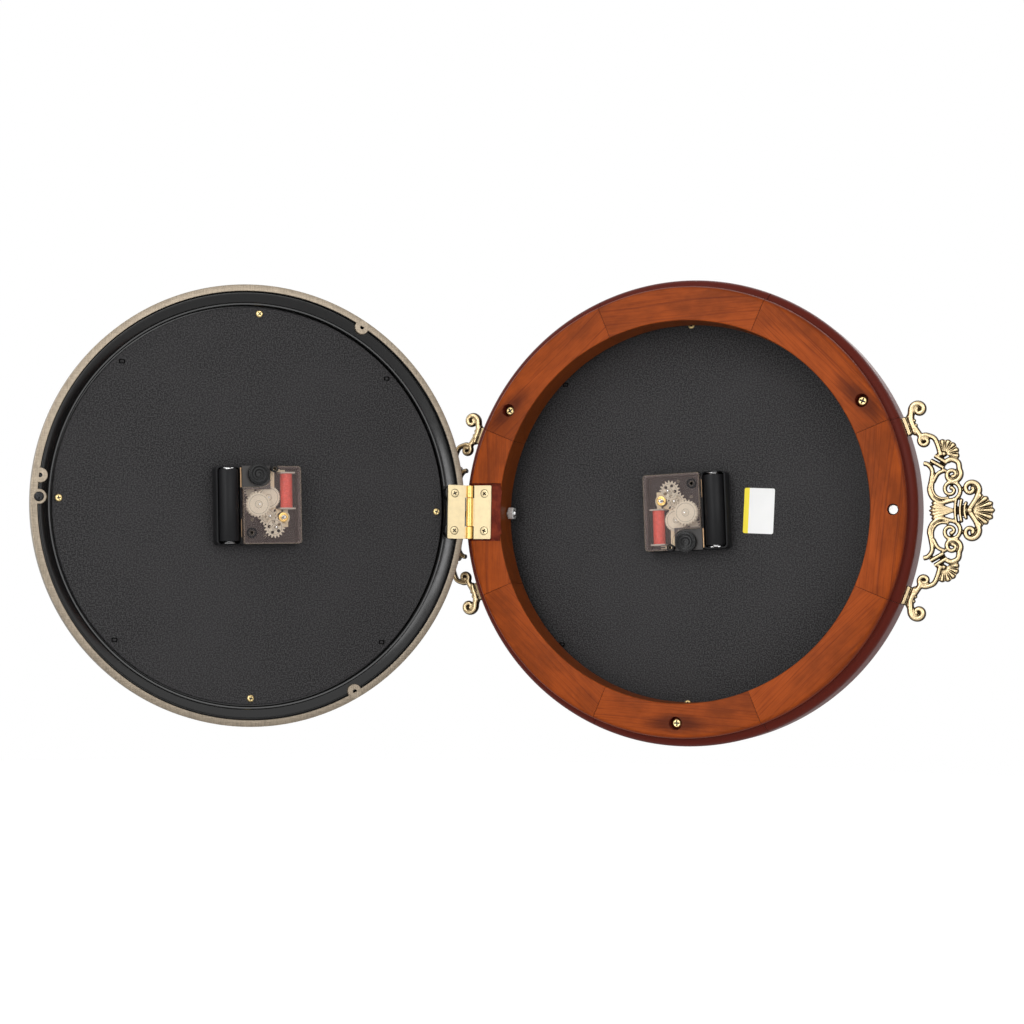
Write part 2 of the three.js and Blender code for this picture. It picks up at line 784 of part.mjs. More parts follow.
function secondWheel(name) {
  const bodies = [
    wheelDisc(second_teeth, second_module, second_phase, second_level, center),
    pinionDisc(fine_pinion_teeth, third_module, second_phase, third_level, center),
    post(wheel_hub_radius, third_level + wheel_thickness, second_level + mesh_margin, center, hexagon),
    post(second_arbor_radius, -second_hand_drop - pipe_end, pivot_high, center, hexagon),
  ];
  return piece(name, carve(bodies), wheel_resin);
}

function centerWheel(name) {
  const wheel = wheelDisc(center_teeth, center_module, center_phase, center_level, center);
  const bore = post(minute_pipe_radius + fit_gap, center_level - overrun,
    center_level + wheel_thickness + overrun, center, pipe_facets);
  return piece(name, carve([wheel], [bore]), wheel_resin);
}

function minutePipe(name) {
  const pipe_low = -minute_hand_drop - pipe_end;
  const bodies = [
    post(minute_pipe_radius, pipe_low, center_level + wheel_thickness / 2, center, pipe_facets),
    pinionDisc(cannon_teeth, minute_tooth_size, cannon_phase, minute_work_level, center),
  ];
  const bore = post(minute_pipe_bore, pipe_low - overrun, center_level + overrun, center, hexagon);
  return piece(name, carve(bodies, [bore]), brass);
}

function minuteWorkWheel(name) {
  const wheel_top = minute_work_level + wheel_thickness;
  const bodies = [
    wheelDisc(minute_work_teeth, minute_tooth_size, work_phase, minute_work_level, minute_work_place),
    toothedDisc(minute_work_pinion_teeth, hour_module, work_phase, hour_level - mesh_margin,
      minute_work_level + mesh_margin, minute_work_place),
  ];
  const bore = post(post_radius + fit_gap, hour_level - overrun, wheel_top + overrun, minute_work_place,
    pipe_facets);
  return piece(name, carve(bodies, [bore]), wheel_resin);
}

function hourWheel(name) {
  const wheel_top = hour_level + wheel_thickness;
  const pipe_low = -hour_hand_drop - pipe_end;
  const bodies = [
    wheelDisc(hour_teeth, hour_module, hour_phase, hour_level, center),
    post(hour_pipe_radius, pipe_low, hour_level + wheel_thickness / 2, center, pipe_facets),
  ];
  const bore = post(hour_pipe_bore, pipe_low - overrun, wheel_top + overrun, center, pipe_facets);
  return piece(name, carve(bodies, [bore]), wheel_resin);
}

function settingKnob(name) {
  const disc_low = corner_level + fit_gap;
  const disc_high = disc_low + knob_thickness;
  const bodies = [
    pinionDisc(knob_teeth, minute_tooth_size, knob_phase, minute_work_level, knob_place),
    post(knob_stem_radius, pivot_low, disc_low + mesh_margin, knob_place, pipe_facets),
    post(knob_radius, disc_low, disc_high, knob_place, knob_facets),
  ];
  const dish_low = disc_high - knob_dish_depth;
  const dish = post(knob_dish_radius, dish_low, disc_high + overrun, knob_place, pipe_facets);
  return piece(name, carve(bodies, [dish]), black_plastic);
}

// Hands, pointing along +z before they are turned to the time

function handBlade(length, width, hub, tail = 0) {
  const half = width / 2;
  const waist = half * blade_waist_share;
  const belly = length * blade_belly_share;
  return outline([[-waist, -tail], [waist, -tail], [waist, hub], [half, belly], [0, length], [-half, belly],
    [-waist, hub]]);
}

function hand(name, blade, hub, bore, drop, degrees) {
  const bodies = [
    slab(blade, -drop, -drop + hand_thickness),
    post(hub, -drop, -drop + hand_thickness, center, hole_facets),
  ];
  const hole = post(bore, -drop - overrun, -drop + overrun + hand_thickness, center, pipe_facets);
  const shape = carve(bodies, [hole]);
  shape.rotateY(rad(degrees));
  return piece(name, shape, black_enamel);
}

function hands(prefix, time) {
  const hour = handBlade(hour_hand_length, hour_hand_width, hour_hub_radius);
  const minute = handBlade(minute_hand_length, minute_hand_width, minute_hub_radius);
  const second = handBlade(second_hand_length, second_hand_width, second_hub_radius, second_hand_tail);
  return [
    hand(`${prefix}_hour_hand`, hour, hour_hub_radius, hour_pipe_radius + fit_gap, hour_hand_drop, time.hour),
    hand(`${prefix}_minute_hand`, minute, minute_hub_radius, minute_pipe_radius + fit_gap, minute_hand_drop,
      time.minute),
    hand(`${prefix}_second_hand`, second, second_hub_radius, second_arbor_radius + fit_gap, second_hand_drop,
      time.second),
  ];
}

function movement(prefix, degrees) {
  const group = new THREE.Group();
  group.add(
    movementBase(`${prefix}_movement_base`),
    movementCover(`${prefix}_movement_cover`),
    battery(`${prefix}_battery`),
    motorCoil(`${prefix}_motor_coil`),
    shaftNut(`${prefix}_shaft_nut`),
    rotor(`${prefix}_rotor`),
    arborWheel(`${prefix}_step_wheel`, step_place, step_phase,
      { teeth: step_teeth, size: step_module, level: step_level },
      { teeth: motor_pinion_teeth, size: reduction_module, level: reduction_level }),
    arborWheel(`${prefix}_reduction_wheel`, reduction_place, reduction_phase,
      { teeth: reduction_teeth, size: reduction_module, level: reduction_level },
      { teeth: motor_pinion_teeth, size: second_module, level: second_level }),
    secondWheel(`${prefix}_second_wheel`),
    arborWheel(`${prefix}_third_wheel`, third_place, third_phase,
      { teeth: third_teeth, size: third_module, level: third_level },
      { teeth: fine_pinion_teeth, size: center_module, level: center_level }, second_level - bearing_gap),
    centerWheel(`${prefix}_center_wheel`),
    minutePipe(`${prefix}_minute_pipe`),
    minuteWorkWheel(`${prefix}_minute_work_wheel`),
    hourWheel(`${prefix}_hour_wheel`),
    settingKnob(`${prefix}_setting_knob`),
  );
  group.rotation.y = -rad(degrees);
  group.position.y = board_setback;
  return group;
}

function dialAssembly(prefix, lugAngles, hingeBosses, movementTurn, time) {
  const group = new THREE.Group();
  group.add(
    bezel(`${prefix}_bezel`, lugAngles, hingeBosses),
    glass(`${prefix}_glass`),
    dialBoard(`${prefix}_dial`),
    movement(prefix, movementTurn),
  );
  const handGroup = new THREE.Group();
  handGroup.add(...hands(prefix, time));
  handGroup.position.y = board_setback;
  group.add(handGroup);
  return group;
}

// Hinge: three knuckles on a pin; closed, both leaves lie in the mortise, one on the other

const knuckle_count = 3;

function hingeLeaf(name, knuckles, level) {
  const half = leaf_length / 2;
  const bodies = [block(pin_radius, leaf_reach, level, level + leaf_thickness, -half, half)];
  const length = leaf_length / knuckle_count;
  const cutters = [];
  for (let k = 0; k < knuckle_count; k += 1) {
    const z0 = -half + k * length;
    const own = knuckles.includes(k);
    const trim = own ? fit_gap / 2 : -fit_gap / 2;
    const radius = own ? knuckle_radius : knuckle_radius + fit_gap;
    const barrel = new THREE.CylinderGeometry(radius, radius, length - 2 * trim, pipe_facets + 2);
    barrel.rotateX(Math.PI / 2);
    barrel.translate(0, 0, z0 + length / 2);
    if (own) bodies.push(barrel);
    else cutters.push(barrel);
  }
  const bore = new THREE.CylinderGeometry(pin_radius + fit_gap, pin_radius + fit_gap,
    leaf_length + overrun, pipe_facets);
  bore.rotateX(Math.PI / 2);
  cutters.push(bore);
  for (const z of [-leaf_screw_spread, leaf_screw_spread]) {
    cutters.push(rod(leaf_screw_radius, level - overrun, level + leaf_thickness + overrun,
      leaf_screw_place, z, pipe_facets));
  }
  return piece(name, carve(bodies, cutters), hinge_brass);
}

function hingePin(name) {
  const body = new THREE.CylinderGeometry(pin_radius, pin_radius, leaf_length, pipe_facets);
  body.rotateX(Math.PI / 2);
  return piece(name, body, hinge_brass);
}

// Cast crest: scrolls, fans and collars on one side of the middle, repeated on the other

const along = (share) => crest_root_radius + crest_span * share;
const up = (share) => crest_half_height * share;
const crestPoint = ([outShare, upShare]) => [along(outShare), up(upShare)];

// Scrolls: the lead-in, then a spiral into the eye from a start round the turn, its size by the half height
const scroll_shares = [
  { lead: [[-0.243, 0.805], [-0.291, 0.865]],
    eye: [-0.17, 0.928], start: 0.528, turns: -1.3, size: 0.07, steps: 8 },
  { lead: [[0.148, 0.515], [0.13, 0.585], [0.073, 0.662]],
    eye: [-0.078, 0.638], start: 0.172, turns: 1.25, size: 0.059, steps: 7 },
  { lead: [[-0.063, 0.426], [0.018, 0.4], [0.055, 0.331], [0.01, 0.254], [0, 0.185], [0.055, 0.112],
    [0.18, 0.074]],
    eye: [0.331, 0.189], start: 0.736, turns: 1.35, size: 0.102, steps: 9 },
  { lead: [[0.268, 0.42], [0.343, 0.458], [0.439, 0.438]],
    eye: [0.356, 0.326], start: 0.111, turns: -1.25, size: 0.081, steps: 7 },
  { lead: [[0.62, 0.01], [0.652, 0.038], [0.714, 0.097]],
    eye: [0.639, 0.195], start: -0.056, turns: 1.25, size: 0.08, steps: 7 },
];
const scroll_eye_share = 0.015;
const foot_rib_shares = [[-0.291, 0.865], [-0.215, 0.78], [-0.12, 0.69]];
const waist_shares = [0.36, 0.66, 0.032];
const tie_shares = [[[0.02, 0.468], [0.225, 0.398]], [[0.085, 0.502], [0.275, 0.43]]];
const inner_arc_shares = [[0.235, 0.36], [0.13, 0.33], [0.065, 0.262]];
const fan_root_shares = [0.226, 0.508];
const fan_reach_share = 0.132;
const fan_angles = [118, -16];
const fan_petals = 5;
const palmette_root_shares = [0.62, 0];
const palmette_reach_share = 0.214;
const palmette_side_reach_share = 0.154;
const palmette_angles = [-62, 62];
const palmette_petals = 7;
const shell_shares = [[0.4, 0.017], [0.118, 0.066], [0.063, 0.057], [0.03, 0.035], [0.008, 0]];
const petal_shares = [[0, 0.84], [0.22, 0.98], [0.5, 1.04], [0.78, 0.98]];
const collar_shares = [[0.415, 0.475, 0.112], [0.51, 0.56, 0.078], waist_shares];
const fan_thickness_share = 0.5;
const plate_thickness_share = 0.6;
const hub_end_share = 0.45;
const bore_end_share = 0.4;
const bead_share = 0.034;
const palmette_bead_share = 0.04;

function scrollPoints({ lead, eye, start, turns, size, steps }) {
  const points = lead.map(crestPoint);
  const middle = crestPoint(eye);
  for (let i = 0; i <= steps; i += 1) {
    const radius = crest_half_height * (size + (scroll_eye_share - size) * i / steps);
    const angle = turn * (start + turns * i / steps);
    points.push([middle[0] + radius * Math.cos(angle), middle[1] + radius * Math.sin(angle)]);
  }
  return points;
}

const mirrored = (points, side) => points.map(([x, z]) => [x, z * side]);

// A fan's scalloped outline: each petal has a round tip, with a notch before the next
function fanOutline(root, petals, angles, reach) {
  const points = [root];
  const spread = (angles[1] - angles[0]) / petals;
  for (let i = 0; i < petals; i += 1) {
    for (const [offset, depth_share] of petal_shares) {
      const degrees = angles[0] + spread * (i + offset);
      const [x, z] = polar(reach(degrees) * depth_share, degrees);
      points.push([root[0] + x, root[1] + z]);
    }
  }
  return points;
}

function crestPlate(points, thickness_share) {
  const half = crest_thickness * thickness_share / 2;
  return prism(outline(points), -half, half);
}

function bead(place, radius) {
  const shape = new THREE.SphereGeometry(radius, hexagon, hexagon - 2);
  shape.translate(place[0], 0, place[1]);
  return shape;
}

const crest_face_radius = ring_band_radius + fit_gap;
const crest_foot_angle = Math.asin(up(crest_foot_share) / crest_face_radius);

function crestFoot(side) {
  const face = crest_face_radius;
  const reach = crest_foot_length / 2 / face;
  const inner = [crest_foot_angle - reach, crest_foot_angle, crest_foot_angle + reach].map((angle) => [
    face * Math.cos(angle), face * Math.sin(angle)]);
  const outer = [...inner].reverse().map(([x, z]) => [
    x * (face + crest_foot_width) / face, z * (face + crest_foot_width) / face]);
  return crestPlate(mirrored([...inner, ...outer], side), 1);
}

function crestHalf(side) {
  const thick = crest_bar_radius;
  const deep = crest_thickness / 2;
  const root = crestPoint(fan_root_shares);
  const ribs = [inner_arc_shares, foot_rib_shares, ...tie_shares].map((shares) => shares.map(crestPoint));
  const foot = crest_face_radius + crest_foot_width / 2;
  const neck = [[foot * Math.cos(crest_foot_angle), foot * Math.sin(crest_foot_angle)], ribs[1][1]];
  const stem = [root, crestPoint(scroll_shares[1].lead[0])];
  const lines = [...scroll_shares.map(scrollPoints), ...ribs, neck, stem];
  const parts = lines.map((points) => bar(mirrored(points, side), thick, deep));
  const fan = fanOutline(root, fan_petals, fan_angles, () => up(fan_reach_share));
  parts.push(crestPlate(mirrored(fan, side), fan_thickness_share));
  parts.push(bead([root[0], root[1] * side], up(bead_share)));
  parts.push(crestFoot(side));
  return parts;
}

function crest(name, direction, hasBore) {
  const parts = [...crestHalf(-1), ...crestHalf(1)];
  const shell = shell_shares.map(crestPoint);
  parts.push(crestPlate([...shell, ...mirrored(shell.slice(0, -1), -1).reverse()], plate_thickness_share));
  for (const [from, to, half_share] of collar_shares) {
    const half = crest_thickness / 2;
    parts.push(block(along(from), along(to), -half, half, -up(half_share), up(half_share)));
  }
  const root = crestPoint(palmette_root_shares);
  const reach = (degrees) => up(palmette_side_reach_share
    + (palmette_reach_share - palmette_side_reach_share) * Math.cos(rad(degrees)) ** 2);
  parts.push(crestPlate(fanOutline(root, palmette_petals, palmette_angles, reach), plate_thickness_share));
  parts.push(bead(root, up(palmette_bead_share)));
  const cutters = [];
  if (hasBore) {
    parts.push(hubAlong(along(0), along(hub_end_share), stud_hole_radius + crest_bar_radius));
    cutters.push(hubAlong(along(0) - overrun, along(bore_end_share), stud_hole_radius));
  }
  const whole = carve(parts, cutters);
  if (direction < 0) whole.rotateZ(Math.PI);
  whole.translate(0, crest_plane, 0);
  return piece(name, whole, antique_brass);
}

// Small steel pieces

function hangingStud(name) {
  const outer = -ring_band_radius - stud_outer_length;
  const inner = -ring_inner_radius + stud_inner_length;
  const body = hubAlong(outer, inner, stud_radius);
  body.translate(0, crest_plane, 0);
  return piece(name, body, steel);
}

function studNut(name) {
  const corner = hexCorner(nut_across);
  const bore = stud_radius + fit_gap;
  const shape = new THREE.CylinderGeometry(corner, corner, nut_length, hexagon);
  const hole = new THREE.CylinderGeometry(bore, bore, nut_length + overrun, pipe_facets);
  const body = carve([shape], [hole]);
  body.rotateZ(Math.PI / 2);
  body.translate(-ring_inner_radius + nut_standoff + nut_length / 2, crest_plane, 0);
  return piece(name, body, steel);
}

function catchMagnet(name) {
  const body = rod(magnet_radius, magnet_inset, magnet_inset + magnet_length, catch_radius, 0, hole_facets);
  return piece(name, body, steel);
}

function strikeScrew(name) {
  const bodies = [
    rod(strike_shank_radius, -fit_gap - overrun, strike_shank_length, -catch_radius, 0, pipe_facets),
    rod(strike_head_radius, -fit_gap - strike_head_height, -fit_gap, -catch_radius, 0, hole_facets),
  ];
  return piece(name, carve(bodies), black_enamel);
}

// Assembly

const clock = new THREE.Group();

for (let k = 0; k < segment_count; k += 1) clock.add(ringSegment(k));
clock.add(
  crest('wall_side_crest', -1, true),
  crest('outer_crest', 1, false),
  hangingStud('hanging_stud'),
  studNut('stud_nut'),
  catchMagnet('catch_magnet'),
);

const front = dialAssembly('front', front_lug_angles, false, front_movement_turn, front_time);
front.position.y = seat_depth + fit_gap;
clock.add(front);

const case_hinge = new THREE.Group();
case_hinge.position.set(-pin_distance, pin_setback, 0);
case_hinge.add(hingeLeaf('hinge_leaf_case', [1], mortise_depth - pin_setback - leaf_thickness - fit_gap / 2));
case_hinge.add(hingePin('hinge_pin'));
clock.add(case_hinge);

const door_pivot = new THREE.Group();
door_pivot.position.set(-pin_distance, pin_setback, 0);
door_pivot.rotation.z = -rad(open_angle);
const door = dialAssembly('door', door_lug_angles, true, door_movement_turn, door_time);
door.add(strikeScrew('strike_screw'));
door.rotation.z = Math.PI;
door.position.set(pin_distance, -pin_setback - fit_gap, 0);
door_pivot.add(door);
door_pivot.add(hingeLeaf('hinge_leaf_door', [0, 2], -pin_setback));
clock.add(door_pivot);

clock.position.set(crest_tip_radius, -crest_plane, 0);

const root = new THREE.Group();
root.add(clock);
root.updateMatrixWorld(true);

export default root;
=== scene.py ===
import json
import math

import bmesh
import bpy
from bpy.props import FloatProperty, FloatVectorProperty, PointerProperty
from bpy.types import Operator, Panel, PropertyGroup
from mathutils import Matrix, Vector, noise
from mathutils.geometry import tessellate_polygon


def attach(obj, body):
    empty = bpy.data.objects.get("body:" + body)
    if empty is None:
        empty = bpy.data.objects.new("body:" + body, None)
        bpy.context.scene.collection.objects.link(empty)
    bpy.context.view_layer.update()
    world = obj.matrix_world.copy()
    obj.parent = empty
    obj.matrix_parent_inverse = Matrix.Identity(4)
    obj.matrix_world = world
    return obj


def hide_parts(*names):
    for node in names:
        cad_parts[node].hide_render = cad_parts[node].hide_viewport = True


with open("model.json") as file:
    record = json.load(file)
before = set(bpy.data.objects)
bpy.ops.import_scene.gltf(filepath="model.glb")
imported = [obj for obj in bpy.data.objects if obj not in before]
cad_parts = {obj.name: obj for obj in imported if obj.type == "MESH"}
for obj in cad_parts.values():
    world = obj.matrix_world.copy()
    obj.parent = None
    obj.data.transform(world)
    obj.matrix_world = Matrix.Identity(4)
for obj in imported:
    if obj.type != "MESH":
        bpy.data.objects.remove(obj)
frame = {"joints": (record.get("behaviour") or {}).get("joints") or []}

bl_info = {
    "name": "Double-sided wall clock",
    "version": (1, 0, 0),
    "blender": (4, 5, 0),
    "location": "View3D > Sidebar > Clock",
    "description": "Dresses a two-faced wall clock: wooden ring, hinged dial, movements, crests",
    "category": "Add Mesh",
}

# Forms are drawn in millimetres in the frame of the piece that carries them: x and z across it,
# y through it.
MM = 0.001
TURN = 2 * math.pi
UP = Vector((0, 0, 1))
HERE = Matrix.Identity(4)
ON_AXIS = 1e-6
WELD = 0.0004
CREASE = 32
WHITE = (1, 1, 1, 1)
JOINTS = {joint["name"]: joint for joint in frame["joints"]}


def millimetres(x, y, z):
    """A move by millimetres in the frame of the scene, which is in metres."""
    return Matrix.Translation(Vector((x, y, z)) * MM)


def shift(x=0.0, y=0.0, z=0.0):
    """A move in the frame of a form."""
    return Matrix.Translation((x, y, z))


def about(axis, degrees):
    return Matrix.Rotation(math.radians(degrees), 4, axis)


# Places shared with the solids
HAND_JOINT_LEVEL = 0.4
SEAT_LEVEL = 23.3
BOARD_LEVEL, BOARD_THICKNESS = 7.6, 3.0
CREST_PLANE = 17.8
PIN_DISTANCE, PIN_SETBACK = 155.4, 1.3
MOVEMENT_TURN = {"front": 182.8, "door": 2.3}
HAND_TIME = {"hour": (305, 305), "minute": (60, 60), "second": (180, 210)}


def side_frame(side):
    """A dial's own frame: x to its right seen from the back, y from its rim to its glass, z up."""
    joint = JOINTS[f"{side}_second"]
    forward = Vector(joint["axis"])
    right = forward.cross(UP)
    rotation = Matrix((right, forward, UP)).transposed().to_4x4()
    return Matrix.Translation(joint["pos_m"]) @ rotation @ millimetres(0, HAND_JOINT_LEVEL, 0)


BODIES = {"front": "case", "door": "door"}
FRAMES = {side: side_frame(side) for side in BODIES}
CASE = FRAMES["front"] @ millimetres(0, -SEAT_LEVEL, 0)
PIN = Matrix.Translation(JOINTS["door_hinge"]["pos_m"])
DOOR_PIN = PIN @ about("Z", -JOINTS["door_hinge"]["range_deg"][1])
MOVEMENTS = {side: place @ millimetres(0, BOARD_LEVEL, 0) @ about("Y", -MOVEMENT_TURN[side])
             for side, place in FRAMES.items()}


# Outlines

def polar(radius, degrees):
    angle = math.radians(degrees)
    return (radius * math.cos(angle), radius * math.sin(angle))


def spot(radius, degrees, y=0.0):
    """A place on a circle round the y axis."""
    x, z = polar(radius, degrees)
    return Vector((x, y, z))


def around(radius, degrees, y=0.0):
    return Matrix.Translation(spot(radius, degrees, y))


def arc(centre, radius, start, end, steps=10):
    """Points of an arc; radius is one number or two, for an ellipse."""
    wide, high = radius if isinstance(radius, tuple) else (radius, radius)
    turned = (polar(1, start + (end - start) * k / steps) for k in range(steps + 1))
    return [(centre[0] + wide * x, centre[1] + high * z) for x, z in turned]


def circle(radius, steps=48, centre=(0, 0)):
    return arc(centre, radius, 0, 360, steps)[:-1]


def hexagon(width):
    return circle(width / 2 / math.cos(math.pi / 6), 6)


def oblong(x0, x1, z0, z1):
    return [(x0, z0), (x1, z0), (x1, z1), (x0, z1)]


def rounded(x0, x1, z0, z1, radius, steps=6):
    """A rectangle with round corners."""
    corners = [(x1 - radius, z1 - radius, 0), (x0 + radius, z1 - radius, 90),
               (x0 + radius, z0 + radius, 180), (x1 - radius, z0 + radius, 270)]
    return [point for x, z, start in corners
            for point in arc((x, z), radius, start, start + 90, steps)]


def mirrored(points):
    """One side of an outline and its mirror image, back to the start."""
    return points + [(-x, z) for x, z in reversed(points)]


def smooth_path(points, steps=8):
    """A curve through points, with some steps between each two."""
    points = [Vector(point) for point in points]
    path = []
    for k, (start, end) in enumerate(zip(points, points[1:])):
        slope_in = (end - points[max(k - 1, 0)]) / 2
        slope_out = (points[min(k + 2, len(points) - 1)] - start) / 2
        for t in (i / steps for i in range(steps)):
            path.append(start * (2 * t**3 - 3 * t**2 + 1) + end * (3 * t**2 - 2 * t**3)
                        + slope_in * (t**3 - 2 * t**2 + t) + slope_out * (t**3 - t**2))
    return path + [points[-1]]


def smooth_outline(points, steps):
    return [tuple(point) for point in smooth_path(points, steps)]


def signed_area(points):
    return sum(a[0] * b[1] - b[0] * a[1] for a, b in zip(points, points[1:] + points[:1])) / 2


def inset(points, amount):
    """The outline moved inwards, or outwards where the amount is below zero."""
    amount *= math.copysign(1, signed_area(points))
    moved = []
    for k, point in enumerate(points):
        here = Vector(point)
        one = (here - Vector(points[k - 1])).normalized()
        two = (Vector(points[(k + 1) % len(points)]) - here).normalized()
        normal = Vector((-one.y - two.y, one.x + two.x))
        share = max(0.5, 1 + one.dot(two))
        moved.append(tuple(here + normal * amount / share))
    return moved


def divided(points, step):
    """The same outline with more points along its sides."""
    made = []
    for a, b in zip(points, points[1:] + points[:1]):
        count = max(1, round(math.dist(a, b) / step))
        made += [(a[0] + (b[0] - a[0]) * i / count, a[1] + (b[1] - a[1]) * i / count)
                 for i in range(count)]
    return made


def ragged(points, amount, seed):
    """An outline with a rough edge."""
    moved = []
    for x, z in points:
        across, along = (noise.noise(Vector((x * 0.9 + start, z * 0.9, seed)))
                         for start in (seed, seed + 40))
        moved.append((x + across * amount, z + along * amount))
    return moved


# Meshes

MATERIALS = {}


def add_object(name, data):
    made = bpy.data.objects.new(name, data)
    bpy.context.scene.collection.objects.link(made)
    return made


def mark_creases(mesh, degrees):
    limit = math.radians(degrees)
    for face in mesh.faces:
        face.smooth = True
    for edge in mesh.edges:
        edge.smooth = len(edge.link_faces) == 2 and edge.calc_face_angle(0) < limit


class Form:
    """A mesh in the making, in millimetres, with the names of its materials."""

    def __init__(self, *names):
        self.names = names
        self.mesh = bmesh.new()
        self.finish = 0

    def use(self, name):
        """What follows has this one of the form's materials."""
        self.finish = self.names.index(name)

    def point(self, place, x, y, z):
        return self.mesh.verts.new(place @ Vector((x, y, z)))

    def face(self, corners):
        corners = list(dict.fromkeys(corners))
        if len(corners) > 2:
            self.mesh.faces.new(corners).material_index = self.finish

    def bands(self, rows, closed, ring=True):
        """Faces between neighbouring rows of points."""
        pairs = list(zip(rows, rows[1:]))
        if closed:
            pairs.append((rows[-1], rows[0]))
        for near, far in pairs:
            count = len(near)
            for i in range(count if ring else count - 1):
                j = (i + 1) % count
                self.face((near[i], near[j], far[j], far[i]))

    def lathe(self, profile, steps=160, place=HERE, closed=None, span=None):
        """Turns a profile of (radius, y) points round the y axis, all round or over a span.

        A profile that meets the axis stays open, and another is closed unless told otherwise."""
        if closed is None:
            closed = min(profile[0][0], profile[-1][0]) > ON_AXIS
        start, end = span or (0, 360)
        count = steps + 1 if span else steps
        angles = [start + (end - start) * i / steps for i in range(count)]
        rows = []
        for radius, level in profile:
            if radius < ON_AXIS:
                rows.append([self.point(place, 0, level, 0)] * count)
            else:
                ring = (polar(radius, angle) for angle in angles)
                rows.append([self.point(place, x, level, z) for x, z in ring])
        self.bands(rows, closed, ring=not span)
        if span and closed:
            self.face([row[0] for row in rows])
            self.face([row[-1] for row in reversed(rows)])
        return self

    def prism(self, outlines, low, high, bevel=0.0, place=HERE, edge=None):
        """Pulls an outline of (x, z) points, with any holes after it, along y.

        edge is the number of the material on the bevels."""
        low, high = min(low, high), max(low, high)
        layers = [(low, 0), (high, 0)]
        if bevel:
            layers = [(low, bevel), (low + bevel, 0), (high - bevel, 0), (high, bevel)]
        main = self.finish
        starts, ends, flat = [], [], []
        for number, points in enumerate(outlines):
            rows = []
            for level, amount in layers:
                moved = inset(points, -amount if number else amount) if amount else points
                rows.append([self.point(place, x, level, z) for x, z in moved])
            for k, pair in enumerate(zip(rows, rows[1:])):
                self.finish = main if edge is None or (k == 1 and bevel) else edge
                self.bands(pair, closed=False)
            self.finish = main
            starts += rows[0]
            ends += rows[-1]
            flat.append([Vector((x, z, 0)) for x, z in moved])
        triangles = tessellate_polygon(flat)
        for corners in (starts, ends):
            for triangle in triangles:
                self.face([corners[i] for i in triangle])
        return self

    def sweep(self, path, section, up=(0, 1, 0), closed=False):
        """Moves a section along a path. section(k) gives (aside, up) points at the path's k."""
        path = [Vector(point) for point in path]
        up, last = Vector(up), len(path) - 1
        rows = []
        for k, point in enumerate(path):
            if closed:
                ahead, behind = path[(k + 1) % len(path)], path[k - 1]
            else:
                ahead, behind = path[min(k + 1, last)], path[max(k - 1, 0)]
            forward = (ahead - behind).normalized()
            aside = forward.cross(up).normalized()
            over = aside.cross(forward)
            rows.append([self.mesh.verts.new(point + aside * a + over * b) for a, b in section(k)])
        self.bands(rows, closed)
        if not closed:
            self.face(rows[0])
            self.face(list(reversed(rows[-1])))

    def tube(self, path, radius, sides=14, depth=1.0, **how):
        """A round bar along a path, or an oval one where its depth isn't 1."""
        section = [(x, z * depth) for x, z in circle(radius, sides)]
        self.sweep(path, lambda k: section, **how)

    def ball(self, radius, centre, depth=1.0, steps=14):
        profile = [(radius * math.cos(t), radius * depth * math.sin(t))
                   for t in (math.pi * (k / 10 - 0.5) for k in range(11))]
        profile[0], profile[-1] = (0, -radius * depth), (0, radius * depth)
        self.lathe(profile, steps, Matrix.Translation(centre))

    def slab(self, outlines, low, high, bevel=0.0, place=HERE, edge=None):
        """A prism between two heights over a movement's board."""
        self.prism(outlines, -low, -high, bevel, place, edge)

    def post(self, radius, low, high, where, steps=24, bore=0.0, bevel=0.0):
        """A round post or pipe between two heights over a movement's board."""
        side = [(radius - bevel, -low), (radius, -low - bevel),
                (radius, -high + bevel), (radius - bevel, -high)]
        self.lathe([(bore, -low)] + side + [(bore, -high)], steps, at(where))

    def data(self, name, crease=CREASE):
        """Closes the work and returns it as mesh data in metres."""
        mesh = self.mesh
        bmesh.ops.remove_doubles(mesh, verts=mesh.verts, dist=WELD)
        bmesh.ops.recalc_face_normals(mesh, faces=mesh.faces)
        bmesh.ops.scale(mesh, vec=(MM, MM, MM), verts=mesh.verts)
        mark_creases(mesh, crease)
        data = bpy.data.meshes.new(name)
        mesh.to_mesh(data)
        mesh.free()
        for finish in self.names:
            data.materials.append(MATERIALS[finish])
        return data

    def build(self, name, body, place, slot, replaces=(), crease=CREASE, cutters=()):
        """Makes the piece, cuts it, and lets it ride on a body."""
        piece = add_object(name, self.data(name, crease))
        if cutters:
            carve(piece, cutters)
        return settle(piece, body, place, replaces)

    def mount(self, side, name, slot, *nodes, places=FRAMES, body=None):
        """Builds a piece of the front or the door, in place of that side's nodes."""
        self.build(f"{side}_{name}", body or BODIES[side], places[side], slot,
                   [f"{side}_{node}" for node in nodes])


def settle(piece, body, place, replaces=()):
    """Keeps each point's own coordinates for the finishes, and puts the piece on its body."""
    own = piece.data.attributes.new("own", "FLOAT_VECTOR", "POINT")
    own.data.foreach_set("vector", [value for vertex in piece.data.vertices for value in vertex.co])
    piece.data.transform(place)
    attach(piece, body)
    if replaces:
        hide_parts(*replaces)
    return piece


def carve(piece, cutters):
    """Takes other forms away from a piece."""
    tools = []
    for form in cutters:
        tools.append(add_object("cutter", form.data("cutter")))
        modifier = piece.modifiers.new("cut", "BOOLEAN")
        modifier.object = tools[-1]
        modifier.operation = "DIFFERENCE"
        modifier.solver = "EXACT"
        modifier.material_mode = "TRANSFER"
    apply_modifiers(piece)
    for tool in tools:
        bpy.data.objects.remove(tool)
    work = bmesh.new()
    work.from_mesh(piece.data)
    mark_creases(work, CREASE)
    work.to_mesh(piece.data)
    work.free()


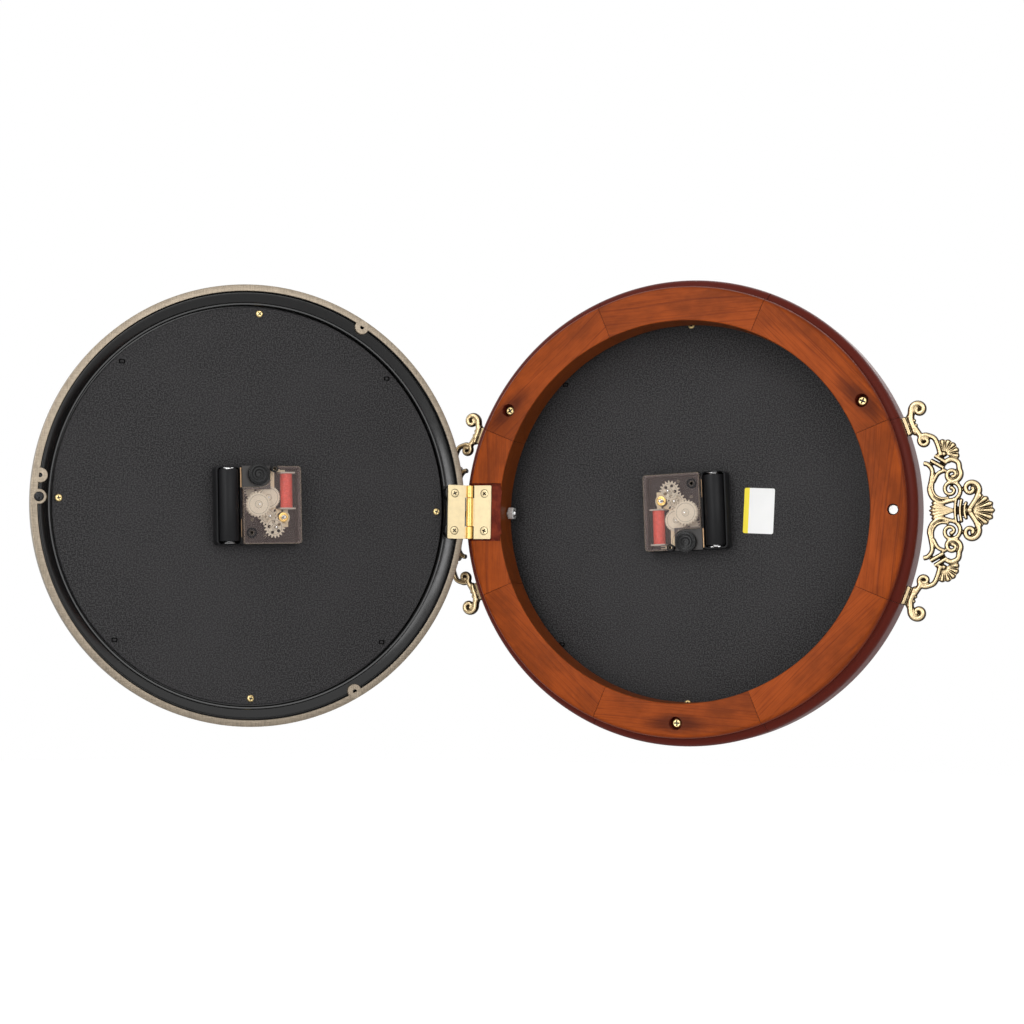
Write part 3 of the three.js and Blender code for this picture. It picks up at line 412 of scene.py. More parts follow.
def apply_modifiers(piece):
    bpy.context.view_layer.update()
    graph = bpy.context.evaluated_depsgraph_get()
    result = bpy.data.meshes.new_from_object(piece.evaluated_get(graph), depsgraph=graph)
    piece.modifiers.clear()
    piece.data = result


# Materials

def operator(operation, swapped=False):
    """A method that puts a socket and another value through a Math node."""
    def method(self, other):
        return self.maths(operation, *((other, self) if swapped else (self, other)))
    return method


class Signal:
    """A socket of a shader tree that can stand in a sum."""

    def __init__(self, finish, socket):
        self.finish = finish
        self.socket = socket

    def maths(self, operation, *values):
        return self.finish.node("ShaderNodeMath", {"operation": operation}, dict(enumerate(values)))

    __add__, __radd__ = operator("ADD"), operator("ADD", swapped=True)
    __sub__, __rsub__ = operator("SUBTRACT"), operator("SUBTRACT", swapped=True)
    __mul__, __rmul__ = operator("MULTIPLY"), operator("MULTIPLY", swapped=True)
    __truediv__, __rtruediv__ = operator("DIVIDE"), operator("DIVIDE", swapped=True)
    __pow__ = operator("POWER")

    def between(self, low, high):
        """0 below low, 1 above high, smooth in between."""
        return self.finish.node("ShaderNodeMapRange", {"interpolation_type": "SMOOTHSTEP"}, {
            "Value": self, "From Min": low, "From Max": high})

    def output(self, name):
        return Signal(self.finish, self.socket.node.outputs[name])


class Finish:
    """A material or world in the making."""

    def __init__(self, owner):
        owner.use_nodes = True
        self.tree = owner.node_tree
        self.tree.nodes.clear()

    def node(self, kind, settings=(), inputs=(), output=0):
        """Adds a node: its settings first, then the values or links of its sockets."""
        made = self.tree.nodes.new(kind)
        for name, value in dict(settings).items():
            setattr(made, name, value)
        for name, value in dict(inputs).items():
            if isinstance(value, Signal):
                self.tree.links.new(value.socket, made.inputs[name])
            else:
                made.inputs[name].default_value = value
        return Signal(self, made.outputs[output]) if made.outputs else made

    def place(self):
        """Coordinates in metres in the piece's own frame."""
        return self.stored("own")

    def stored(self, name):
        return self.node("ShaderNodeAttribute", {"attribute_name": name}, output="Vector")

    def axes(self, vector):
        x = self.node("ShaderNodeSeparateXYZ", inputs={"Vector": vector})
        return x, x.output("Y"), x.output("Z")

    def scaled(self, vector, scale):
        return self.node("ShaderNodeVectorMath", {"operation": "MULTIPLY"}, {0: vector, 1: scale})

    def noise(self, vector, scale, detail=3.0, rough=0.5):
        return self.node("ShaderNodeTexNoise", inputs={
            "Vector": vector, "Scale": scale, "Detail": detail, "Roughness": rough})

    def blend(self, factor, first, second):
        return self.node("ShaderNodeMix", {"data_type": "RGBA"}, {0: factor, 6: first, 7: second},
                         output=2)

    def shades(self, factor, colour, first, second):
        """One colour, between two of its tints."""
        return self.blend(factor, tint(colour, first), tint(colour, second))

    def bump(self, height, strength, distance):
        return self.node("ShaderNodeBump", inputs={
            "Height": height, "Strength": strength, "Distance": distance})

    def surface(self, **sockets):
        """The shader itself, its sockets named with _ for a space."""
        shader = self.node("ShaderNodeBsdfPrincipled", inputs={
            name.replace("_", " "): value for name, value in sockets.items()})
        self.node("ShaderNodeOutputMaterial", inputs={"Surface": shader})


def new_finish(name):
    MATERIALS[name] = bpy.data.materials.new(name)
    return Finish(MATERIALS[name])


def tint(colour, factor=1.0):
    return tuple(min(1, channel * factor) for channel in colour[:3]) + (1,)


def wood_finish(wood):
    """Varnished softwood: growth lines along each segment, stain round the screws and outside."""
    finish = new_finish("varnished_wood")
    grain = finish.stored("grain")
    across, depth, _ = finish.axes(grain)
    radius, level, _ = finish.axes(finish.stored("ring"))
    way = finish.scaled(finish.stored("screw"), (1, 0.4, 0.3))
    from_screw = finish.node("ShaderNodeVectorMath", {"operation": "LENGTH"}, {0: way},
                             output="Value")
    wander = finish.noise(finish.scaled(grain, (1, 1, 0.14)), 26, 2)
    growth = finish.node("ShaderNodeTexNoise", {"noise_dimensions": "1D"}, {
        "W": across * 260 + depth * 90 + wander * 7, "Scale": 1.7, "Detail": 3, "Roughness": 0.7})
    fibre = finish.noise(finish.scaled(grain, (1, 1, 0.03)), 1500, 3, 0.6)
    streak = finish.noise(finish.scaled(grain, (1, 1, 0.06)), 420, 3, 0.6)
    blotch = finish.noise(finish.scaled(grain, (1, 1, 0.5)), 42, 4, 0.65)
    dark = growth.between(0.5, 0.7)
    line = tint(wood.line_colour)
    base = finish.shades(blotch.between(0.32, 0.68), wood.colour, 0.72, 1.25)
    base = finish.blend(dark * 0.42 + streak.between(0.5, 0.72) * 0.3, base, line)
    base = finish.blend(fibre.between(0.42, 0.72) * 0.35, base, line)
    soaked = 1 - (from_screw + streak * 0.008).between(0.0065, 0.0125)
    base = finish.blend(soaked * 0.8, base, tint(wood.line_colour, 0.55))
    groove = level.between(0.002, 0.006) * radius.between(0.15, 0.152)
    outside = radius.between(0.1535, 0.1572) + groove
    inside = 1 - radius.between(0.1319, 0.1324)
    base = finish.blend(outside * 0.85, base, tint(wood.stain_colour))
    base = finish.blend(inside * 0.75, base, tint(wood.inner_colour))
    finish.surface(Base_Color=base, Roughness=0.3 + fibre * 0.16, Specular_IOR_Level=0.1,
                   Normal=finish.bump(fibre + dark * 0.6, 0.16, 0.0004))


def cut_wood_finish(wood):
    """Rough wood inside a cut, soaked with stain."""
    finish = new_finish("cut_wood")
    place = finish.place()
    fibre = finish.noise(finish.scaled(place, (1, 0.3, 0.25)), 900, 4, 0.7)
    patch = finish.noise(place, 160, 3, 0.6)
    base = finish.blend(patch.between(0.3, 0.7), tint(wood.stain_colour), tint(wood.cut_colour))
    base = finish.blend(fibre.between(0.5, 0.75) * 0.6, base, tint(wood.stain_colour, 0.5))
    finish.surface(Base_Color=base, Roughness=0.62, Specular_IOR_Level=0.12,
                   Normal=finish.bump(fibre, 0.5, 0.0006))


def brushed_finish(name, colour, fine, metallic=0.9, rough=0.34):
    """Metal brushed across itself, with a faint mottling."""
    finish = new_finish(name)
    place = finish.place()
    long = finish.noise(finish.scaled(place, (1, 1, 0.06)), 2600, 2, 0.6)
    wide = finish.noise(finish.scaled(place, (0.06, 1, 1)), 2600, 2, 0.6)
    grain = finish.noise(place, 3800, 2, 0.6)
    scratch = (long + wide + grain) / 3
    cloud = finish.noise(place, 60, 3, 0.6)
    base = finish.shades(scratch.between(0.4, 0.6) * fine + cloud * 0.2, colour, 0.55, 1.35)
    finish.surface(Base_Color=base, Metallic=metallic, Roughness=rough + scratch * 0.18,
                   Normal=finish.bump(scratch, 0.22, 0.0002))


def polished_finish(name, colour, rough, metallic, wear):
    """Bright metal with faint clouds and fine scratches."""
    finish = new_finish(name)
    place = finish.place()
    cloud = finish.noise(place, 220, 3, 0.6)
    scratch = finish.noise(finish.scaled(place, (1, 1, 0.05)), 1500, 2, 0.5)
    base = finish.shades(cloud.between(0.3, 0.75) * wear, colour, 1.0, 0.6)
    finish.surface(Base_Color=base, Metallic=metallic, Roughness=rough + scratch * 0.12,
                   Normal=finish.bump(scratch, 0.08, 0.0002))


def antique_finish(metals):
    """Old brass, mottled, with dark patina in its hollows, painted light on its faces turned to
    world ±y and painted shade down its sides.
    """
    finish = new_finish("antique_brass")
    place = finish.place()
    cloud = finish.noise(place, 420, 4, 0.65)
    speck = finish.noise(place, 2400, 2, 0.5)
    _, facing, _ = finish.axes(finish.node("ShaderNodeNewGeometry", output="Normal"))
    open_sky = finish.node("ShaderNodeAmbientOcclusion", {"only_local": True, "samples": 8},
                           {"Distance": 0.004}, output="AO")
    # Painted light and shade: faces turned to world ±y get the bright brass and faces turned aside
    # get the dark colour. The ambient occlusion darkens the hollows as patina.
    painted_light_on_y_faces = (facing * facing).between(0.2, 0.95)
    worn_and_painted_light = painted_light_on_y_faces * open_sky.between(0.6, 0.97) * 1.3 + cloud * 0.3 - 0.25
    dark = tint(metals.patina_and_side_shade)
    base = finish.blend(worn_and_painted_light.between(0.05, 1.0), dark, tint(metals.antique))
    base = finish.blend(speck.between(0.6, 0.78) * 0.3, base, dark)
    finish.surface(Base_Color=base, Metallic=0.85, Roughness=0.46 - worn_and_painted_light * 0.14,
                   Normal=finish.bump(cloud + speck * 0.4, 0.16, 0.0004))


def plastic_finish(name, colour, rough=0.4, grain=900, depth=0.1, gloss=0.5, **extra):
    """Moulded plastic with a fine skin."""
    finish = new_finish(name)
    place = finish.place()
    skin = finish.noise(place, grain, 3, 0.6)
    cloud = finish.noise(place, 45, 2, 0.5)
    base = finish.shades(cloud.between(0.3, 0.7) * 0.5 + skin * 0.2, colour, 0.85, 1.15)
    finish.surface(Base_Color=base, Roughness=rough + skin * 0.14, Specular_IOR_Level=gloss,
                   Normal=finish.bump(skin, depth, 0.0003), **extra)


def board_finish(board):
    """Charcoal board with a pebbled skin."""
    finish = new_finish("charcoal_board")
    place = finish.place()
    pebble = finish.node("ShaderNodeTexVoronoi", inputs={"Vector": place, "Scale": 900})
    coarse = finish.noise(place, 1050, 2, 0.6)
    cloud = finish.noise(place, 14, 3, 0.6)
    base = finish.shades(coarse.between(0.42, 0.6), board.colour, 0.35, 1.8)
    base = finish.blend(cloud.between(0.35, 0.7) * 0.3, base, tint(board.colour, 1.5))
    finish.surface(Base_Color=base, Roughness=0.5 + coarse * 0.16, Specular_IOR_Level=0.2,
                   Normal=finish.bump(coarse * 0.7 + (1 - pebble) * 0.5, 0.7, 0.0006))


def winding_finish(colour):
    """Enamelled wire, wound tight and taped."""
    finish = new_finish("coil_winding")
    place = finish.place()
    _, _, along = finish.axes(place)
    turns = along.maths("SINE", along * 21000)
    cloud = finish.noise(place, 420, 3, 0.7)
    base = finish.shades(cloud.between(0.35, 0.7), colour, 0.8, 1.25)
    finish.surface(Base_Color=base, Roughness=0.3 + cloud * 0.2,
                   Normal=finish.bump(turns * 0.5 + cloud, 0.25, 0.0002))


def glass_finish():
    """Clear glass: only its gloss shows."""
    finish = new_finish("clear_glass")
    gloss = finish.node("ShaderNodeBsdfPrincipled", inputs={
        "Base Color": (0.95, 0.97, 0.97, 1), "Metallic": 1.0, "Roughness": 0.03})
    clear = finish.node("ShaderNodeBsdfTransparent", inputs={"Color": (0.96, 0.98, 0.97, 1)})
    facing = finish.node("ShaderNodeLayerWeight", inputs={"Blend": 0.5}, output="Facing")
    smear = finish.noise(finish.place(), 30, 2)
    mixed = finish.node("ShaderNodeMixShader", inputs={
        0: facing ** 5 * 0.9 + 0.03 + smear * 0.02, 1: clear, 2: gloss})
    finish.node("ShaderNodeOutputMaterial", inputs={"Surface": mixed})


def paper_finish(name, colour, gloss=0.3):
    """Printed card with a faint tooth."""
    finish = new_finish(name)
    place = finish.place()
    tooth = finish.noise(place, 1500, 3, 0.6)
    age = finish.noise(place, 18, 3, 0.6)
    base = finish.shades(age.between(0.35, 0.75) * 0.6, colour, 1.0, 0.88)
    finish.surface(Base_Color=base, Roughness=0.6 + tooth * 0.1, Specular_IOR_Level=gloss,
                   Normal=finish.bump(tooth, 0.06, 0.0002))


def floor_finish():
    """Pale floor that the camera sees as white where no shadow falls."""
    finish = new_finish("studio_floor")
    seen = finish.node("ShaderNodeLightPath", output="Is Camera Ray")
    glow = finish.blend(seen, (0, 0, 0, 1), (0.62, 0.62, 0.62, 1))
    finish.surface(Base_Color=(0.82, 0.82, 0.82, 1), Roughness=0.9, Emission_Color=glow,
                   Emission_Strength=1.0)


def make_materials(clock):
    wood, metals, boards, works = clock.wood, clock.metals, clock.boards, clock.works
    wood_finish(wood)
    cut_wood_finish(wood)
    brushed_finish("champagne_metal", metals.champagne, 0.7)
    antique_finish(metals)
    board_finish(boards)
    winding_finish(works.coil)
    glass_finish()
    floor_finish()
    for look in (  # name, colour, roughness, metallic, wear
        ("hinge_brass", metals.hinge, 0.3, 0.55, 0.22),
        ("yellow_zinc", metals.zinc, 0.26, 0.95, 0.5),
        ("bright_steel", metals.steel, 0.16, 1.0, 0.3),
        ("turned_brass", metals.brass, 0.2, 1.0, 0.2),
        ("black_steel", (0.02, 0.02, 0.022), 0.3, 0.6, 0.3),
        ("nickel_plate", (0.74, 0.74, 0.72), 0.26, 0.6, 0.5),
        ("contact_copper", (0.36, 0.23, 0.13), 0.3, 0.9, 0.5),
    ):
        polished_finish(*look)
    for look in (  # name, colour, roughness, scale and depth of the skin, gloss
        ("black_lacquer", boards.channel, 0.13, 260, 0.03),
        ("black_enamel", (0.01, 0.01, 0.011), 0.22, 500, 0.04, 0.25),
        ("black_plastic", works.case, 0.42, 900, 0.1, 0.13),
        ("battery_sleeve", works.battery, 0.34, 500, 0.04, 0.16),
        ("wheel_resin", works.wheels, 0.42, 1400, 0.08),
        # Darker resin, as painted shade in rings round the wheels' hubs and rims.
        ("wheel_groove", tint(works.wheels, 0.22), 0.5, 1400, 0.08),
        ("corner_plastic", (0.05, 0.046, 0.044), 0.36, 500, 0.05, 0.3),
        ("knob_plastic", tint(works.case, 0.35), 0.2, 700, 0.04, 0.25),
        ("bobbin", (0.55, 0.47, 0.40), 0.35, 700, 0.06),
    ):
        plastic_finish(*look)
    plastic_finish("iron_plate", works.plate, 0.4, 1200, 0.08, Metallic=0.3)
    plastic_finish("smoke_plastic", works.cover, 0.2, 300, 0.03, 0.3, Alpha=0.12)
    # Paler, denser smoke plastic; on the cover's bevels it is a painted highlight along the edges.
    plastic_finish("smoke_edge", (0.36, 0.29, 0.2), 0.2, 300, 0.03, 0.3, Alpha=0.34)
    for look in (  # name, colour, gloss
        ("glue_line", tint(wood.line_colour, 0.3), 0.1),
        # Black clips without gloss, as painted shade of the board's slots.
        ("dark_slot", (0.001, 0.001, 0.001), 0.02),
        ("dial_card", boards.dial),
        ("dial_ink", (0.008, 0.008, 0.009), 0.1),
        ("blank_label", (0.93, 0.93, 0.92)),
        ("label_band", (0.95, 0.78, 0.06)),
    ):
        paper_finish(*look)


# Settings

def length(name, description, default):
    return FloatProperty(name=name, description=description, default=default, unit="LENGTH",
                         subtype="DISTANCE", min=0.0001)


def colour(name, description, default):
    return FloatVectorProperty(name=name, description=description, default=default,
                               subtype="COLOR", min=0, max=1)


def power(name, description, default):
    return FloatProperty(name=name, description=description, default=default, unit="POWER")


class WoodSettings(PropertyGroup):
    colour: colour("Wood", "Varnished wood on the open face", (0.30, 0.055, 0.006))
    line_colour: colour("Growth lines", "Dark growth lines and fibres", (0.11, 0.016, 0.003))
    stain_colour: colour("Outer stain", "Outer side of the ring", (0.10, 0.012, 0.006))
    inner_colour: colour("Inner wall", "Inner wall of the ring", (0.105, 0.028, 0.006))
    cut_colour: colour("Cut wood", "Inside of the mortise and the holes", (0.2, 0.03, 0.012))


class MetalSettings(PropertyGroup):
    champagne: colour("Bezel metal", "Brushed metal of the bezels", (0.33, 0.275, 0.21))
    hinge: colour("Hinge brass", "Polished brass of the hinge", (0.78, 0.64, 0.38))
    zinc: colour("Screws", "Yellow plating of the screws", (0.84, 0.64, 0.3))
    steel: colour("Steel", "Stud and battery ends", (0.72, 0.72, 0.72))
    # Also colours the hinge's knuckles, where its deeper gold is painted shade.
    brass: colour("Turned brass", "Rotor and shaft nut", (0.82, 0.54, 0.18))
    # The crests' bright colour goes on their faces turned to world ±y as painted light. Their dark
    # colour is patina in the hollows and painted shade down their sides.
    antique: colour("Crest ridges", "Bright ridges of the crests", (0.80, 0.62, 0.36))
    patina_and_side_shade: colour("Crest hollows", "Dark hollows of the crests", (0.045, 0.028, 0.013))


class BoardSettings(PropertyGroup):
    colour: colour("Dial board", "Pebbled back of the dial boards", (0.027, 0.026, 0.027))
    channel: colour("Bezel channel", "Black lacquer inside the bezels", (0.003, 0.003, 0.003))
    dial: colour("Dial card", "Printed card behind the glass", (0.80, 0.75, 0.62))
    numeral_height: length("Numeral height", "Height of the numerals on the dials", 0.021)


class WorkSettings(PropertyGroup):
    case: colour("Movement case", "Black plastic of the movements", (0.014, 0.014, 0.015))
    cover: colour("Cover", "Smoked plastic over the wheels", (0.33, 0.245, 0.225))
    battery: colour("Battery", "Plain dark sleeve of the battery", (0.010, 0.010, 0.011))
    coil: colour("Coil", "Winding of the motor coil", (0.95, 0.085, 0.055))
    wheels: colour("Wheels", "Pale resin of the wheels", (0.86, 0.74, 0.57))
    plate: colour("Plate", "Pale plate under the wheels", (0.92, 0.72, 0.48))


class StageSettings(PropertyGroup):
    floor_drop: length("Floor", "How far the floor lies below the middle of the clock", 0.42)
    key_power: power("Key lamp", "Power of the large lamp", 8)
    fill_power: power("Fill lamp", "Power of the two softer lamps", 9)
    front_power: power("Front panel", "Power of the panel that shines in the channel", 6)
    sky: FloatProperty(name="Sky", description="Strength of the light from all round",
                       default=0.5, min=0)


class ClockSettings(PropertyGroup):
    wood: PointerProperty(type=WoodSettings)
    metals: PointerProperty(type=MetalSettings)
    boards: PointerProperty(type=BoardSettings)
    works: PointerProperty(type=WorkSettings)
    stage: PointerProperty(type=StageSettings)


# Stage

CAMERA_PLACE = (0.55795, -1.22372, -0.07286)
CAMERA_YAW, CAMERA_PITCH, CAMERA_ROLL = 21.274, 3.219, 0.864
CAMERA_LENS, SENSOR_WIDTH = 63.98, 36
FLOOR_SIZE, FLOOR_THICKNESS = 6.0, 10
MIDDLE = (0.06, -0.05, 0)
LAMPS = [  # name, setting, place, target, width, height of a panel
    ("key_lamp", "key_power", (-0.55, -1.5, 1.25), MIDDLE, 1.1, None),
    ("fill_lamp", "fill_power", (1.5, -1.35, 0.5), MIDDLE, 1.3, None),
    ("back_lamp", "fill_power", (0.4, 1.5, 1.2), MIDDLE, 1.3, None),
    ("front_panel", "front_power", (-0.14, -1.55, 0.08), (0.02, -0.05, 0), 0.3, 1.3),
]


def soft_lamp(name, power, place, target, width, height):
    """A disc, or an upright panel where a height is given."""
    data = bpy.data.lights.new(name, "AREA")
    data.energy = power
    data.shape = "RECTANGLE" if height else "DISK"
    data.size = width
    data.size_y = height or width
    lamp = add_object(name, data)
    lamp.location = place
    way = Vector(target) - lamp.location
    lamp.rotation_euler = way.to_track_quat("-Z", "Y").to_euler()


class CLOCK_OT_stage(Operator):
    """Floor, white surroundings, lamps and the camera at the photograph's place"""
    bl_idname = "clock.stage"
    bl_label = "Stage"

    def execute(self, context):
        settings = context.scene.wall_clock.stage
        make_materials(context.scene.wall_clock)
        self.surroundings(context, settings.sky)
        self.floor(settings.floor_drop)
        for name, setting, *rest in LAMPS:
            soft_lamp(name, getattr(settings, setting), *rest)
        self.camera(context)
        return {"FINISHED"}

    def surroundings(self, context, strength):
        world = bpy.data.worlds.new("white_studio")
        context.scene.world = world
        finish = Finish(world)
        path = finish.node("ShaderNodeLightPath")
        seen = path.maths("MAXIMUM", path, path.output("Is Transmission Ray"))
        bright = path.maths("MAXIMUM", seen, path.output("Is Glossy Ray"))
        sky, white = (
            finish.node("ShaderNodeBackground", inputs={"Color": WHITE, "Strength": level})
            for level in (strength, 1.0))
        mixed = finish.node("ShaderNodeMixShader", inputs={0: bright, 1: sky, 2: white})
        finish.node("ShaderNodeOutputWorld", inputs={"Surface": mixed})

    def floor(self, drop):
        form = Form("studio_floor")
        form.prism([circle(FLOOR_SIZE / 2 / MM, 64)], 0, -FLOOR_THICKNESS)
        floor = add_object("studio_floor", form.data("studio_floor"))
        floor.matrix_world = Matrix.Translation((MIDDLE[0], 0, -drop)) @ about("X", 90)

    def camera(self, context):
        data = bpy.data.cameras.new("camera")
        data.lens = CAMERA_LENS
        data.sensor_width = SENSOR_WIDTH
        data.clip_start, data.clip_end = 0.05, 50
        camera = add_object("camera", data)
        facing = about("Z", CAMERA_YAW) @ about("X", 90 + CAMERA_PITCH) @ about("Z", CAMERA_ROLL)
        camera.matrix_world = Matrix.Translation(CAMERA_PLACE) @ facing
        context.scene.camera = camera
        context.scene.view_settings.view_transform = "Standard"


# Wooden ring

RING_INNER, RING_BAND, RING_DEPTH = 132.0, 162.0, 39.0
SEAT_RADIUS, SEAT_DEPTH = 153.3, 23.0
SEGMENTS = 8
SEGMENT_TURN = 360 / SEGMENTS
GLUE_GAP = 0.3
GLUE_SUNK = 0.35
SCREW_ANGLES = (30, 150, 270)
SCREW_RADIUS, SCREW_SEAT = 145.6, 5.3
CATCH_RADIUS = 147.0
MAGNET_HOLE, MAGNET_HOLE_DEPTH = 3.8, 7.9
MORTISE_HALF, MORTISE_DEPTH, MORTISE_REACH = 20.7, 2.8, (-170, -131)
KNUCKLE_GROOVE, STUD_HOLE = 3.3, 3


def ring_profile():
    """The ring's section: face, round edge, bead, ovolo, band, round back and the bezel's seat."""
    bead = [(156, 5.3)] + arc((156, 6.1), (0.9, 0.75), 270, 90, 8)
    ovolo = arc((156, 13.4), (6, 6.2), -88, 0, 10)
    back = [(RING_BAND, 34)] + arc((157, 34), 5, 0, 90, 8)
    return ([(RING_INNER, 0.5), (RING_INNER + 0.5, 0.05), (RING_INNER + 1.2, 0)]
            + arc((153, 3), 3, -90, 0, 8) + bead + ovolo + back
            + [(SEAT_RADIUS, RING_DEPTH), (SEAT_RADIUS, SEAT_DEPTH), (RING_INNER, SEAT_DEPTH)])


def screws_in(number):
    """The angles of the ring's screws in one segment."""
    return [degrees for degrees in SCREW_ANGLES
            if round(degrees / SEGMENT_TURN) % SEGMENTS == number]


def store_grain(piece, number, middle):
    """Keeps each point's place along the grain, its radius and depth, and its way to a screw."""
    data = piece.data
    ring = CASE.inverted()
    turned = about("Y", middle) @ ring
    tilt = math.radians((number * 37 % 11 - 5) * 0.9)
    grain, place, screw = (data.attributes.new(name, "FLOAT_VECTOR", "POINT").data
                           for name in ("grain", "ring", "screw"))
    head = Vector((0, 0, 1))
    for degrees in screws_in(number):
        head = spot(SCREW_RADIUS * MM, degrees - middle)
    for k, vertex in enumerate(data.vertices):
        own, there = turned @ vertex.co, ring @ vertex.co
        across = own.x * math.cos(tilt) + own.z * math.sin(tilt)
        along = own.z * math.cos(tilt) - own.x * math.sin(tilt)
        grain[k].vector = (across + number * 0.731, own.y, along + number * 1.37)
        place[k].vector = (math.hypot(there.x, there.z), there.y, 0)
        screw[k].vector = own - head


class CLOCK_OT_ring(Operator):
    """The wooden ring: eight glued segments with their grain, holes and the hinge's mortise"""
    bl_idname = "clock.ring"
    bl_label = "Wooden ring"

    def execute(self, context):
        for number in range(SEGMENTS):
            self.segment(number)
        self.glue()
        return {"FINISHED"}

    def glue(self):
        """Fills the joints between the segments, a little below their faces."""
        form = Form("glue_line")
        half = math.degrees(GLUE_GAP * 0.52 / RING_INNER)
        for number in range(SEGMENTS):
            joint = (number + 0.5) * SEGMENT_TURN
            form.lathe(inset(ring_profile(), GLUE_SUNK), 1, span=(joint - half, joint + half))
        form.build("glue_lines", "case", CASE, "wood")

    def segment(self, number):
        middle = number * SEGMENT_TURN
        half = SEGMENT_TURN / 2 - math.degrees(GLUE_GAP / 2 / RING_INNER)
        form = Form("varnished_wood", "cut_wood")
        form.lathe(ring_profile(), 36, span=(middle - half, middle + half))
        piece = form.build(f"wood_segment_{number + 1}", "case", CASE, "wood",
                           [f"ring_segment_{number + 1}"], cutters=self.cuts(number))
        store_grain(piece, number, middle)

    def cuts(self, number):
        """The forms that one segment's holes and mortise are cut with."""
        profile = [(0, -1), (4.6, -1), (4.55, 6.4), (4.1, 7), (0, 7)]
        cuts = [Form("cut_wood").lathe(profile, 40, around(SCREW_RADIUS, degrees))
                for degrees in screws_in(number)]
        if number == 0:
            rim = ragged(circle(MAGNET_HOLE, 40, (CATCH_RADIUS, 0)), 0.35, 3.0)
            cuts.append(Form("cut_wood").prism([rim], -1, MAGNET_HOLE_DEPTH))
        if number == SEGMENTS // 2:
            corners = oblong(*MORTISE_REACH, -MORTISE_HALF, MORTISE_HALF)
            mortise = ragged(divided(corners, 0.9), 0.4, 7.0)
            cuts.append(Form("cut_wood").prism([mortise], -2, MORTISE_DEPTH))
            knuckles = shift(-PIN_DISTANCE, PIN_SETBACK) @ about("X", 90)
            stud = shift(-127, CREST_PLANE) @ about("Z", 90)
            for radius, low, high, place in (
                    (KNUCKLE_GROOVE, -MORTISE_HALF, MORTISE_HALF, knuckles),
                    (STUD_HOLE, -6, 40, stud)):
                cuts.append(Form("cut_wood").lathe(
                    [(0, low), (radius, low), (radius, high), (0, high)], 32, place))
        return cuts


# Screws, stud and magnet

# Radius and rise of the screws' heads
RING_HEAD, BOARD_HEAD, STRIKE_HEAD, LEAF_HEAD = (3.5, 1.7), (2.5, 1.2), (3.2, 1.9), (2.7, 0.25)
HEAD_STEPS = 48
MAGNET_RADIUS, MAGNET_LOW, MAGNET_HIGH = 3.2, 2.6, 7.6
NUT_WIDTH, NUT_HEIGHT, NUT_HOLE = 8, 4.2, 2.7
STUD_MIDDLE, STUD_HALF = -154.8, 29.2
STUD_ROOT, STUD_CREST = 2.1, 2.48
THREADS = 62
THREAD_PITCH = STUD_HALF / 32.5


def cross_screw(form, place, radius, rise, turn):
    """A cross-slotted head along -y of its place, in a form's first material, with painted shade in
    its slot in the form's last.
    """
    form.finish = 0
    spin = place @ about("Y", turn)
    arm, half, top = radius * 0.58, radius * 0.16, radius * 0.66
    slot = [(half, half), (arm, half), (arm, -half), (half, -half), (half, -arm), (-half, -arm),
            (-half, -half), (-arm, -half), (-arm, half), (-half, half), (-half, arm), (half, arm)]
    dome = [(radius, 0.6), (radius, 0), (radius * 0.97, -rise * 0.45),
            (radius * 0.86, -rise * 0.8), (top, -rise)]
    form.lathe(dome, HEAD_STEPS, spin, closed=False)
    form.prism([circle(top, HEAD_STEPS), slot], -rise, -rise + 1.1, place=spin)
    # Painted shade: the bottom of the cross slot is filled with the form's last, dark material.
    form.use(form.names[-1])
    form.prism([inset(slot, -0.02)], -rise + 0.85, -rise + 1.2, place=spin)
    form.finish = 0


